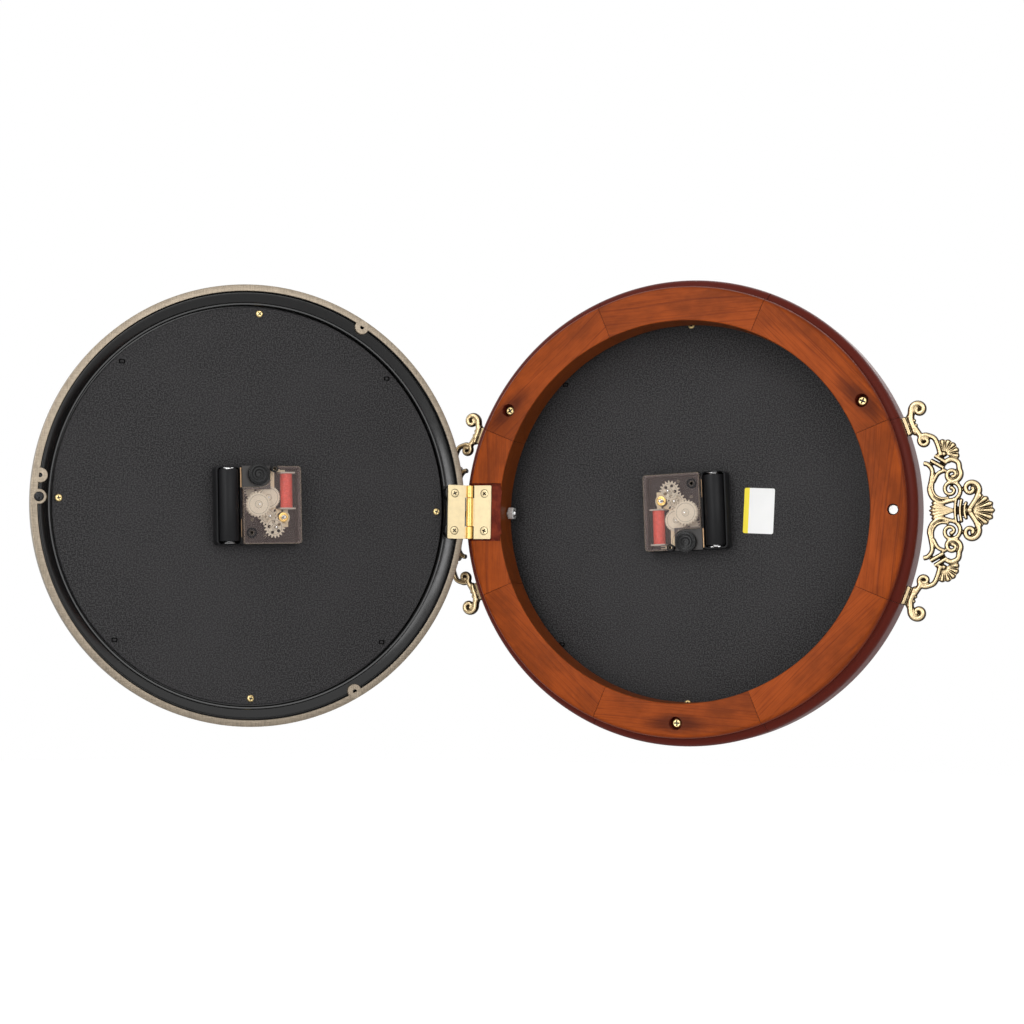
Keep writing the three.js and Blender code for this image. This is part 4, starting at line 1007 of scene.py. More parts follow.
class CLOCK_OT_fixings(Operator):
    """Ring screws, hanging stud with its nut, catch magnet and strike screw"""
    bl_idname = "clock.fixings"
    bl_label = "Screws, stud and catch"

    def execute(self, context):
        for number, degrees in enumerate(SCREW_ANGLES):
            form = Form("yellow_zinc", "black_steel")
            place = around(SCREW_RADIUS, degrees, SCREW_SEAT)
            cross_screw(form, place, *RING_HEAD, 25 + 31 * number)
            form.lathe([(1.9, 5.9), (1.9, 7.2), (0, 7.2)], 24, around(SCREW_RADIUS, degrees))
            form.build(f"ring_screw_{number + 1}", "case", CASE, "steel")
        self.stud()
        form = Form("nickel_plate")
        radius, low, high = MAGNET_RADIUS, MAGNET_LOW, MAGNET_HIGH
        form.lathe([(0, low), (radius - 0.3, low), (radius, low + 0.3), (radius, high), (0, high)],
                   40, shift(CATCH_RADIUS))
        form.build("round_magnet", "case", CASE, "steel", ["catch_magnet"])
        form = Form("black_steel", "black_enamel")
        cross_screw(form, shift(-CATCH_RADIUS, -0.35), *STRIKE_HEAD, 12)
        form.lathe([(1.6, 0.2), (1.6, 6), (0, 6)], 24, shift(-CATCH_RADIUS))
        form.build("strike_screw_head", "door", FRAMES["door"], "black_steel", ["strike_screw"])
        return {"FINISHED"}

    def stud(self):
        half, pitch = STUD_HALF, THREAD_PITCH
        profile = [(0, -half), (2.3, -half)]
        for k in range(THREADS):
            start = (k + 0.5) * pitch - half
            profile += [(STUD_ROOT, start), (STUD_CREST, start + pitch / 2)]
        profile += [(STUD_ROOT, half - 1.75 * pitch), (2.0, half - 0.75 * pitch), (1.4, half),
                    (0, half)]
        lying = about("Z", -90)
        stud = Form("bright_steel")
        stud.lathe(profile, 28, shift(STUD_MIDDLE, CREST_PLANE) @ lying)
        stud.build("threaded_stud", "case", CASE, "steel", ["hanging_stud"], crease=50)
        nut = Form("nickel_plate")
        nut.prism([divided(hexagon(NUT_WIDTH), 0.8), circle(NUT_HOLE, 28)], 0, NUT_HEIGHT, 0.35,
                  shift(-RING_INNER + 0.8, CREST_PLANE) @ lying)
        nut.build("hex_nut", "case", CASE, "steel", ["stud_nut"])


# Hinge

LEAF_START, LEAF_REACH, LEAF_HALF = 3.3, 16.4, 19.3
LEAF_THICKNESS, LEAF_BEVEL = 1.1, 0.12
KNUCKLE_RADIUS, KNUCKLE_BORE, KNUCKLE_GAP = 2.6, 1.15, 0.12
KNUCKLES = (-19.3, -10.3, 10.3, 19.3)
LEAF_SCREW = (11.2, 13.4)
LEAF_SCREW_HEIGHTS = (-LEAF_SCREW[1], LEAF_SCREW[1])


class CLOCK_OT_hinge(Operator):
    """The brass butt hinge: two leaves with rolled knuckles, its pin and four screws"""
    bl_idname = "clock.hinge"
    bl_label = "Hinge"

    def execute(self, context):
        self.leaf("case", PIN, [1], 0.25, -1)
        self.leaf("door", DOOR_PIN, [0, 2], -1.3, 1)
        pin = Form("hinge_brass")
        half = LEAF_HALF
        pin.lathe([(0, -half), (0.8, -half), (1.1, 0.3 - half), (1.1, half - 0.3), (0.8, half),
                   (0, half)], 24, about("X", 90))
        pin.build("hinge_pin_rod", "case", PIN, "hinge_brass", ["hinge_pin"])
        return {"FINISHED"}

    def leaf(self, body, place, own, level, face):
        """A leaf with its own knuckles; face is -1 where its screws go in from -y, else 1."""
        outline = [(LEAF_START, -LEAF_HALF), (LEAF_REACH - 0.6, -LEAF_HALF),
                   (LEAF_REACH, -LEAF_HALF + 0.6), (LEAF_REACH, LEAF_HALF - 0.6),
                   (LEAF_REACH - 0.6, LEAF_HALF), (LEAF_START, LEAF_HALF)]
        holes = [circle(3.0, 40, (LEAF_SCREW[0], z)) for z in LEAF_SCREW_HEIGHTS]
        shadow = level + 0.25 if face < 0 else level + 0.1
        form = Form("hinge_brass", "turned_brass", "black_steel")
        form.prism([divided(outline, 2.0)] + holes, level, level + LEAF_THICKNESS, LEAF_BEVEL)
        for k, ends in enumerate(zip(KNUCKLES, KNUCKLES[1:])):
            if k in own:
                self.knuckle(form, level, ends[0] + KNUCKLE_GAP, ends[1] - KNUCKLE_GAP)
            else:
                # Painted shade: a black strip fills the gap beside the other leaf's knuckle.
                form.use("black_steel")
                form.prism([oblong(KNUCKLE_RADIUS + 0.1, LEAF_START, *ends)], shadow, shadow + 0.7)
            form.use("hinge_brass")
        for number, z in enumerate(LEAF_SCREW_HEIGHTS):
            seat = shift(LEAF_SCREW[0], level + (0.1 if face < 0 else LEAF_THICKNESS - 0.1), z)
            if face > 0:
                seat = seat @ about("X", 180)
            # Painted shade: a black cone under each head shows as a dark ring in the gap round it.
            form.use("black_steel")
            form.lathe([(3.0, -0.02), (3.05, 0.12), (2.2, 0.7), (0, 0.7)], 40, seat)
            turn = 30 + 23 * number + 11 * face
            cross_screw(form, seat @ shift(0, 0.1), *LEAF_HEAD, turn)
        node = f"hinge_leaf_{body}"
        form.build(f"{node}_brass", body, place, "hinge_brass", [node])

    def knuckle(self, form, level, low, high):
        """A rolled barrel, and the root that joins it to the leaf; the barrel takes a deeper golden
        brass than the leaf, as painted shade on its round sides.
        """
        form.prism([oblong(0.6, LEAF_START + 0.3, low, high)], level, level + LEAF_THICKNESS, 0.05)
        radius = KNUCKLE_RADIUS
        barrel = [(KNUCKLE_BORE, low), (radius - 0.25, low), (radius, low + 0.25),
                  (radius, high - 0.25), (radius - 0.25, high), (KNUCKLE_BORE, high)]
        form.use("turned_brass")
        form.lathe([(r, -z) for r, z in barrel], 40, about("X", 90))


# Cast crests

CREST_ROOT, CREST_SPAN, CREST_HALF = 168.2, 42.3, 72.8
CREST_VOXEL = 0.36
# Scrolls as shares of the crest's reach and half height: lead-in, eye, start, turns, size, and
# the band's half width in millimetres at its start and its eye
SCROLLS = [
    ([(-0.24, 0.755), (-0.291, 0.83)], (-0.17, 0.928), 0.528, -1.12, 0.068, 2.25, 1.45),
    ([(0.17, 0.5), (0.135, 0.585), (0.073, 0.662)], (-0.078, 0.638),
     0.172, 1.15, 0.058, 1.7, 1.35),
    ([(-0.09, 0.432), (-0.02, 0.42), (0.045, 0.36), (0.02, 0.254), (0, 0.185), (0.055, 0.112),
      (0.18, 0.072)], (0.331, 0.189), 0.736, 1.45, 0.1, 1.6, 1.15),
    ([(0.268, 0.45), (0.343, 0.466), (0.439, 0.438)], (0.356, 0.326),
     0.111, -1.35, 0.079, 1.85, 1.15),
    ([(0.61, 0.005), (0.655, 0.045), (0.714, 0.1)], (0.635, 0.195),
     -0.056, 1.12, 0.077, 1.9, 1.4),
]
SCROLL_STEPS = 40
EYE_SHARE, EYE_RADIUS = 0.018, 1.75
RIBS = [
    ([(-0.262, 0.79), (-0.2, 0.735), (-0.13, 0.675)], 2.1),
    ([(0.235, 0.365), (0.13, 0.335), (0.06, 0.262)], 1.55),
    ([(0.052, 0.25), (0.05, 0.19), (0.098, 0.136), (0.19, 0.11), (0.3, 0.115)], 1.15),
]
TIES = [[(0.02, 0.458), (0.225, 0.388)], [(0.085, 0.502), (0.275, 0.432)]]
FAN_ROOT, FAN_REACH, FAN_ANGLES, FAN_PETALS = (0.226, 0.515), 10.8, (112, -22), 5
PALMETTE_ROOT, PALMETTE_ANGLES, PALMETTE_PETALS = (0.62, 0), (-66, 66), 7
PALMETTE_REACH, PALMETTE_SIDE = 17.0, 13.0
SHELL_TIP, SHELL_REACH, SHELL_HALF_ANGLE, SHELL_PETALS = 186.0, 18.8, 22, 5
COLLARS = [(185.9, 8.4), (189.1, 6.9), (192.0, 5.0)]
FOOT_HEIGHT, FOOT_HALF, FOOT_PAD, FOOT_THICK = 56, 6.25, 0.9, 2.9
PETAL_STEPS = 16
STUD_BORE, SLEEVE_RADIUS, SLEEVE_LENGTH = 2.7, 4.75, 19


def crest_point(share):
    return Vector((CREST_ROOT + CREST_SPAN * share[0], 0, CREST_HALF * share[1]))


def petal(form, root, degrees, reach, width, high, clear):
    """One lobe of a fan: a thin ridge from the root that swells to a round end."""
    direction = spot(1, degrees)
    end = reach - width * 0.22
    path, sizes = [], []
    for share in (k / PETAL_STEPS for k in range(PETAL_STEPS + 1)):
        path.append(root + direction * (clear + (end - clear) * share))
        swell = 0.3 + 0.7 * min(1, share / 0.8) ** 1.3
        tip = math.sqrt(max(0, 1 - max(0, (share - 0.8) / 0.2) ** 2))
        rise = high * (0.45 + 0.55 * min(1, share / 0.6))
        sizes.append((width / 2 * swell * max(0.3, tip), rise * max(0.4, tip)))
    form.sweep(path, lambda k: [(a * sizes[k][0], b * sizes[k][1]) for a, b in circle(1, 12)])


def fan(form, root, angles, count, reach, width, high, web, clear=0.0):
    """Lobes side by side over a thin plate, clear of their root; reach(degrees) is their length."""
    first, last = angles
    step = (last - first) / count
    for k in range(count):
        degrees = first + step * (k + 0.5)
        petal(form, root, degrees, reach(degrees), width, high, clear)
    rim = []
    for k in range(count * 8 + 1):
        degrees = first + (last - first) * k / (count * 8)
        dip = 0.86 + 0.08 * abs(math.sin(math.pi * k / 8))
        x, z = polar(reach(degrees) * dip, degrees)
        rim.append((root.x + x, root.z + z))
    form.prism([[(root.x, root.z)] + rim], -web, web)


def scroll_path(lead, eye, start, turns, size):
    middle = crest_point(eye)
    points = [crest_point(share) for share in lead]
    for share in (k / SCROLL_STEPS for k in range(0, SCROLL_STEPS + 1, 2)):
        radius = CREST_HALF * (size + (EYE_SHARE - size) * share ** 0.9)
        points.append(middle + spot(radius, 360 * (start + turns * share)))
    return smooth_path(points, 4)


class CLOCK_OT_crests(Operator):
    """The two cast crests: scrolls, fans, shell, collars and palmette, fused into one casting"""
    bl_idname = "clock.crests"
    bl_label = "Cast crests"

    def execute(self, context):
        right = CASE @ millimetres(0, CREST_PLANE, 0)
        self.crest("cast_crest_outer", right, "outer_crest", False)
        self.crest("cast_crest_wall", right @ about("Z", 180), "wall_side_crest", True)
        return {"FINISHED"}

    def crest(self, name, place, node, bored):
        form = Form("antique_brass")
        for side in (1, -1):
            self.half(form, side)
        self.middle(form)
        if bored:
            form.lathe(oblong(STUD_BORE, SLEEVE_RADIUS, CREST_ROOT, CREST_ROOT + SLEEVE_LENGTH),
                       32, about("Z", -90))
        piece = add_object(name, form.data(name))
        fuse = piece.modifiers.new("fuse", "REMESH")
        fuse.mode = "VOXEL"
        fuse.voxel_size = CREST_VOXEL * MM
        fuse.use_smooth_shade = True
        soften = piece.modifiers.new("soften", "SMOOTH")
        soften.factor = 0.5
        soften.iterations = 2
        apply_modifiers(piece)
        settle(piece, "case", place, [node])

    def half(self, form, side):
        flip = Matrix.Scale(side, 4, (0, 0, 1))
        for lead, eye, start, turns, size, wide, narrow in SCROLLS:
            path = [flip @ point for point in scroll_path(lead, eye, start, turns, size)]
            count = len(path)
            sizes = [1.1 * (wide + (narrow - wide) * (k / count) ** 1.3) for k in range(count)]
            form.sweep(path, lambda k: [(a * sizes[k], b * (1.2 + sizes[k] * 0.78))
                                        for a, b in circle(1, 14)])
            form.ball(EYE_RADIUS, path[-1], 1.5, 18)
        for shares, radius in RIBS:
            curve = smooth_path([crest_point(share) for share in shares], 6)
            path = [flip @ point for point in curve]
            form.tube(path, radius, depth=2.7 / radius)
            form.ball(radius, path[0], 2.4 / radius)
        for shares in TIES:
            form.tube([flip @ crest_point(share) for share in shares], 1.7, depth=1.75)
        root = flip @ crest_point(FAN_ROOT)
        fan(form, root, [side * angle for angle in FAN_ANGLES], FAN_PETALS,
            lambda degrees: FAN_REACH, 3.6, 2.4, 0.9, 2.7)
        form.ball(2.0, root, 1.6, 18)
        self.foot(form, side)

    def foot(self, form, side):
        """The pad that stands on the ring, with small leaf teeth beside its bar."""
        face = RING_BAND + 0.3
        middle = math.degrees(math.asin(FOOT_HEIGHT / face))
        half = math.degrees(FOOT_HALF / face)
        form.lathe(oblong(face, face + FOOT_PAD, -FOOT_THICK, FOOT_THICK), 10,
                   span=(side * (middle - half), side * (middle + half)))
        for radius, reach in ((1.0, 1.7), (1.9, 4.6)):
            path = [spot(face + reach, side * (middle + half * (t / 3 - 1) * 0.94))
                    for t in range(7)]
            form.tube(path, radius, depth=FOOT_THICK / radius)
            for end in (path[0], path[-1]):
                form.ball(radius * 0.9, end, 2.6 / radius)
        for k in range(3):
            degrees = side * (middle - half * 0.7 + k * half * 0.5)
            form.ball(1.2, spot(face + 7.0, degrees), 1.6, 12)

    def middle(self, form):
        fan(form, Vector((SHELL_TIP, 0, 0)), (180 - SHELL_HALF_ANGLE, 180 + SHELL_HALF_ANGLE),
            SHELL_PETALS, lambda degrees: SHELL_REACH - abs(degrees - 180) * 0.04, 2.9, 2.5, 1.1)
        for x, half in COLLARS:
            path = [Vector((x - 0.9 * (1 - t * t / 16), 0, half * t / 4)) for t in range(-4, 5)]
            form.tube(path, 1.25, depth=2.3)
            for end in (-1, 1):
                form.ball(1.25, (x, 0, half * end), 2.2)
        root = crest_point(PALMETTE_ROOT)
        gain = PALMETTE_REACH - PALMETTE_SIDE
        fan(form, root, PALMETTE_ANGLES, PALMETTE_PETALS,
            lambda degrees: PALMETTE_SIDE + gain * math.cos(math.radians(degrees)) ** 2,
            3.8, 2.6, 1.0, 3.4)
        form.ball(2.6, root, 1.4, 20)


# Bezels, boards and glasses

BEZEL_RADIUS, RIM_INNER, OPENING = 152.4, 147.5, 125.0
LEDGE_INNER, LEDGE_OUTER, LEDGE_LEVEL = 129.94, 138.54, 10.9
GLASS_LEDGE = 24.5
LUG_RADIUS, LUG_CIRCLE, LUG_BORE = 5.0, 147.3, 1.5
LUG_ANGLES = {"front": (30, 150, 270), "door": (60.5, 174.5, 299.5)}
STRIKE_BORE = 1.9
BOSS_RADIUS = 6.6
BOARD_RADIUS, BOARD_BORE = 137.7, 4.4
SLOT_CIRCLE, SLOT_ANGLES = 132.8, (45, 135, 225, 315)
BOARD_SCREW_CIRCLE, BOARD_SCREW_ANGLES = 133.3, (0, 90, 180, 270)
GLASS_SEAT, GLASS_FRONT, GLASS_BACK, GLASS_RISE = 129.34, 24.2, 22.0, 3.4


def shoulder_curve():
    """The bezel's outer side from its rim to its opening."""
    corners = [(BEZEL_RADIUS, 7), (149.1, 14.9), (141.4, 23.8), (136.6, 27.9), (131.6, 29.8),
               (128.6, 29.72), (126.2, 28.9), (OPENING, 26.2)]
    return smooth_outline(corners, 6)


class CLOCK_OT_bezels(Operator):
    """The brushed bezels with their black channel, lugs and hinge bosses"""
    bl_idname = "clock.bezels"
    bl_label = "Bezels"

    def execute(self, context):
        for side in FRAMES:
            self.bezel(side)
        return {"FINISHED"}

    def bezel(self, side):
        form = Form("champagne_metal", "black_lacquer")
        lip = (RIM_INNER + 0.35, 0.35)
        outer = [lip, (RIM_INNER + 0.6, 0.05), (BEZEL_RADIUS - 0.5, 0.0),
                 (BEZEL_RADIUS - 0.1, 0.2), (BEZEL_RADIUS, 0.6)] + shoulder_curve() + [
            (OPENING, GLASS_LEDGE), (LEDGE_INNER, GLASS_LEDGE), (LEDGE_INNER, LEDGE_LEVEL)]
        channel = [(LEDGE_INNER, LEDGE_LEVEL), (LEDGE_OUTER, LEDGE_LEVEL),
                   (LEDGE_OUTER, BOARD_LEVEL + 0.3), (LEDGE_OUTER + 0.15, 6.9), (139.3, 6.1),
                   (140.2, 6.0), (140.6, 5.5), (140.9, 5.1), (141.5, 4.6), (145.1, 2.0),
                   (145.9, 1.6), (146.5, 1.8), (146.7, 2.6), (147.0, 2.6), (147.2, 1.2), lip]
        form.lathe(outer, 288, closed=False)
        form.use("black_lacquer")
        form.lathe(channel, 288, closed=False)
        form.use("champagne_metal")
        for degrees in LUG_ANGLES[side]:
            place = around(LUG_CIRCLE, degrees, -0.04)
            self.pillar(form, LUG_BORE, place)
            form.use("black_lacquer")
            form.lathe([(LUG_BORE, 0), (LUG_BORE - 0.1, 4), (0, 4)], 24, place)
            form.use("champagne_metal")
        if side == "door":
            self.pillar(form, STRIKE_BORE, shift(-CATCH_RADIUS, -0.02))
            form.use("black_lacquer")
            boss = [(0, 0.05), (BOSS_RADIUS - 0.3, 0.05), (BOSS_RADIUS, 0.4), (BOSS_RADIUS, 6),
                    (0, 6)]
            for z in LEAF_SCREW_HEIGHTS:
                form.lathe(boss, 48, shift(PIN_DISTANCE - LEAF_SCREW[0], 0, z))
        form.mount(side, "bezel_metal", "champagne_metal", "bezel")

    def pillar(self, form, bore, place):
        """The round pad that a screw stands on."""
        form.lathe([(bore, 0), (LUG_RADIUS - 0.35, 0), (LUG_RADIUS, 0.3), (LUG_RADIUS, 6.4)], 44,
                   place, closed=False)


class CLOCK_OT_boards(Operator):
    """The pebbled boards with their screws and slots, and the card dials on their other side"""
    bl_idname = "clock.boards"
    bl_label = "Boards and dials"

    def execute(self, context):
        for side in FRAMES:
            self.board(side)
            self.screws(side)
        return {"FINISHED"}

    def board(self, side):
        board = Form("charcoal_board")
        face, back = BOARD_LEVEL, BOARD_LEVEL + BOARD_THICKNESS
        board.lathe([(BOARD_BORE, face), (BOARD_RADIUS - 0.5, face), (BOARD_RADIUS, face + 0.5),
                     (BOARD_RADIUS, back), (BOARD_BORE, back)], 256)
        board.mount(side, "board", "charcoal_board", "dial")
        card = Form("dial_card")
        card.lathe(oblong(BOARD_BORE, LEDGE_INNER - 0.2, back + 0.02, back + 0.32), 192)
        card.mount(side, "dial_card", "charcoal_board")

    def screws(self, side):
        screws = Form("yellow_zinc", "black_steel")
        for number, degrees in enumerate(BOARD_SCREW_ANGLES):
            place = around(BOARD_SCREW_CIRCLE, degrees, BOARD_LEVEL - 0.05)
            cross_screw(screws, place, *BOARD_HEAD, 17 + 29 * number)
        screws.mount(side, "board_screws", "steel")
        # Partly black plastic clips, partly painted shade: a near-black without gloss, so the slots
        # read as dark openings.
        slots = Form("dark_slot")
        rim = [rounded(-2.0, 2.0, -1.4, 1.4, 0.4), rounded(-1.3, 1.3, -0.8, 0.8, 0.3)]
        for degrees in SLOT_ANGLES:
            slots.prism(rim, -0.35, 0.3, 0.08, around(SLOT_CIRCLE, degrees, BOARD_LEVEL))
        slots.mount(side, "board_slots", "black_plastic")


class CLOCK_OT_glasses(Operator):
    """The domed glasses"""
    bl_idname = "clock.glasses"
    bl_label = "Glasses"

    def execute(self, context):
        edge = OPENING - 0.3
        dome = [(edge * k / 12, GLASS_RISE * (1 - (k / 12) ** 2)) for k in range(13)]
        profile = [(r, GLASS_BACK + y) for r, y in dome]
        profile += [(GLASS_SEAT, GLASS_BACK), (GLASS_SEAT, GLASS_FRONT)]
        profile += [(r, GLASS_FRONT + y) for r, y in reversed(dome)]
        for side in FRAMES:
            glass = Form("clear_glass").lathe(profile, 128)
            glass.mount(side, "glass_dome", "clear_glass", "glass")
        return {"FINISHED"}


# Movements. Places are (x, z) and levels are heights over the board's face.

CASE_LEFT, CASE_RIGHT, CASE_BOTTOM, CASE_TOP = -29.6, 29.6, -27.7, 26.5
CASE_WALL, CASE_CORNER = 1.3, 2.6
BAY_RIGHT, BAY_HEIGHT = -13.2, 11.5
GEAR_LEFT, COVER_LEFT = -11.9, -11.6
FLOOR_LOW, FLOOR_HIGH, BASE_HEIGHT = 0.3, 1.8, 9.4
COVER_LOW, COVER_HEIGHT, COVER_EDGE, COVER_WALL, COVER_SKIN = 9.7, 15.2, 0.4, 1.2, 1.5
CORNER_LEVEL, CORNER_BOTTOM = 11.2, 11.1
BUSHING_RADIUS, BUSHING_BORE, BUSHING_REACH = 4.0, 3.0, 6.6
BATTERY_PLACE, BATTERY_LEVEL, BATTERY_RADIUS, BATTERY_HALF = (-20.75, -0.6), 9.2, 7.1, 24.6
COIL_PLACE, COIL_LEVEL, COIL_RADIUS, COIL_HALF = (20.4, 9.4), 7.6, 4.3, 11.8
IRON_LOW, IRON_HIGH = 5.1, 6.0
MOTOR_BORE = 3.85
ROTOR, STEP, REDUCTION, THIRD = (17.6, -9.0), (11.4, -15.8), (7.1, -8.2), (7.55, 4.9)
CENTER, KNOB = (0.0, 0.0), (-0.2, 20.7)
KNOB_NOTCH = 8.6
BOSSES = [(10.6, 24.2), (-6.3, -19.7)]
BOSS_BORE = 1.15
POSTS = [(-5.4, -10.5), (3.4, -21.9)]
NUT_BORE = 4.3

MINUTE_TOOTH = 0.61
CANNON_TEETH, WORK_TEETH, KNOB_TEETH = 8, 24, 12
HOUR_LEVEL, MINUTE_LEVEL, CENTER_LEVEL, REDUCTION_LEVEL = 2.5, 4.1, 5.9, 7
THIRD_LEVEL, SECOND_LEVEL = 8.3, 10.1
WHEEL, PINION, WHEEL_RIM = 0.8, 1.3, 0.86
TOOTH_TIP, TOOTH_ROOT = 0.8, 1.25
AXLE_RADIUS, AXLE_LOW, AXLE_TOP, AXLE_BEVEL = 0.5, 2.3, 14.0, 0.12

FRAME_OUTLINE = [
    (9.2, -4.6), (9.2, 13.5), (8.0, 16.5), (8.4, 23.0), (10.6, 24.6), (20.2, 24.6), (20.2, 22.5),
    (12.6, 22.5), (12.4, 8.0), (13.2, 7.0), (13.2, -2.8), (15.2, -3.4), (21.9, -3.4),
    (21.9, -15.6), (14.8, -15.6), (14.8, -12.9), (12.9, -8.4), (12.9, -4.6)]
PALE_PINS = [(9.9, 7.1), (9.9, 1.6), (9.9, -0.6), (9.9, -2.8), (12.2, -3.6), (20.6, -13.4),
             (15.8, -14.4)]
DARK_PINS = [(11.4, 5.4), (12.4, -3.9), (21.2, -9.0), (13.0, -9.6), (17.6, -4.4)]


def gearing(a, b, teeth_a, teeth_b, phase_a):
    """The tooth size of two wheels that mesh, and the phase of the second one."""
    way = math.atan2(b[1] - a[1], b[0] - a[0])
    phase = way + math.pi - (0.5 - (way - phase_a) * teeth_a / TURN) * TURN / teeth_b
    return 2 * math.dist(a, b) / (teeth_a + teeth_b), phase


def meeting_point(a, b, from_a, from_b):
    span = math.dist(a, b)
    along = (from_a**2 - from_b**2 + span**2) / (2 * span)
    aside = math.sqrt(max(0, from_a**2 - along**2))
    x, z = (b[0] - a[0]) / span, (b[1] - a[1]) / span
    return (a[0] + x * along - z * aside, a[1] + z * along + x * aside)


WORK = meeting_point(CENTER, KNOB, MINUTE_TOOTH * (CANNON_TEETH + WORK_TEETH) / 2,
                     MINUTE_TOOTH * (KNOB_TEETH + WORK_TEETH) / 2)
STEP_TOOTH, STEP_PHASE = gearing(ROTOR, STEP, 6, 18, 0)
REDUCTION_TOOTH, REDUCTION_PHASE = gearing(STEP, REDUCTION, 6, 15, STEP_PHASE)
SECOND_TOOTH, SECOND_PHASE = gearing(REDUCTION, CENTER, 6, 24, REDUCTION_PHASE)
THIRD_TOOTH, THIRD_PHASE = gearing(CENTER, THIRD, 6, 45, SECOND_PHASE)
CENTER_TOOTH, CENTER_PHASE = gearing(THIRD, CENTER, 6, 48, THIRD_PHASE)
_, WORK_PHASE = gearing(CENTER, WORK, CANNON_TEETH, WORK_TEETH, 0)
HOUR_TOOTH, HOUR_PHASE = gearing(WORK, CENTER, 8, 32, WORK_PHASE)
_, KNOB_PHASE = gearing(WORK, KNOB, WORK_TEETH, KNOB_TEETH, WORK_PHASE)
ARBORS = [  # body, place, phase, its wheel's and pinion's teeth, tooth and level, holes, top
    ("step", STEP, STEP_PHASE, (18, STEP_TOOTH, THIRD_LEVEL),
     (6, REDUCTION_TOOTH, REDUCTION_LEVEL), 5, AXLE_TOP),
    ("reduction", REDUCTION, REDUCTION_PHASE, (15, REDUCTION_TOOTH, REDUCTION_LEVEL),
     (6, SECOND_TOOTH, SECOND_LEVEL), 0, AXLE_TOP),
    ("third", THIRD, THIRD_PHASE, (45, THIRD_TOOTH, THIRD_LEVEL),
     (6, CENTER_TOOTH, CENTER_LEVEL), 0, 9.7),
]


def at(place, level=0.0):
    return shift(place[0], -level, place[1])


def toothed(teeth, tooth, phase):
    """A wheel's outline, with flat-topped teeth."""
    radius = tooth * teeth / 2
    tip, root = radius + tooth * TOOTH_TIP, radius - tooth * TOOTH_ROOT
    flank = ((root, -0.36), (radius, -0.2), (tip, -0.09), (tip, 0.09), (radius, 0.2), (root, 0.36))
    points = []
    for k in range(teeth):
        for reach, aside in flank:
            angle = phase + TURN * (k + aside) / teeth
            points.append((reach * math.cos(angle), reach * math.sin(angle)))
    return points


def wheel(form, teeth, tooth, level, phase, place, hub, holes=0):
    """A moulded wheel: teeth, a thin web with a rim and hub standing proud of it, holes where it
    has them, and painted shade in thin dark rings round its hub and rim where the form has that
    material.
    """
    radius = tooth * (teeth / 2 - TOOTH_ROOT)
    inner, outer = hub + 0.35, radius * WHEEL_RIM
    middle, size = (inner + outer) / 2, (outer - inner) * 0.42
    outlines = [toothed(teeth, tooth, phase)]
    for k in range(holes):
        degrees = math.degrees(phase) + 360 * (k + 0.5) / holes
        outlines.append(circle(size, 20, polar(middle, degrees)))
    form.slab(outlines, level + 0.12, level + WHEEL - 0.12, 0.05, at(place))
    for low, high in ((level, level + 0.13), (level + WHEEL - 0.13, level + WHEEL)):
        form.lathe(oblong(outer, radius * 0.985, -low, -high), 64, at(place))
        form.lathe(oblong(0.6, hub, -low, -high), 32, at(place))
    # Painted shade: thin dark rings of resin along the edges of the hub and the rim.
    if "wheel_groove" in form.names:
        form.use("wheel_groove")
        top = -level - WHEEL
        for near, far in ((hub - 0.02, hub + 0.22), (hub * 0.55, hub * 0.55 + 0.14),
                          (outer - 0.2, outer + 0.02)):
            form.lathe(oblong(near, far, top + 0.1, top), 48, at(place))
        form.use("wheel_resin")


def pinion(form, teeth, tooth, level, phase, place):
    middle = level + WHEEL / 2
    form.slab([toothed(teeth, tooth, phase)], middle - PINION / 2, middle + PINION / 2, 0.06,
              at(place))


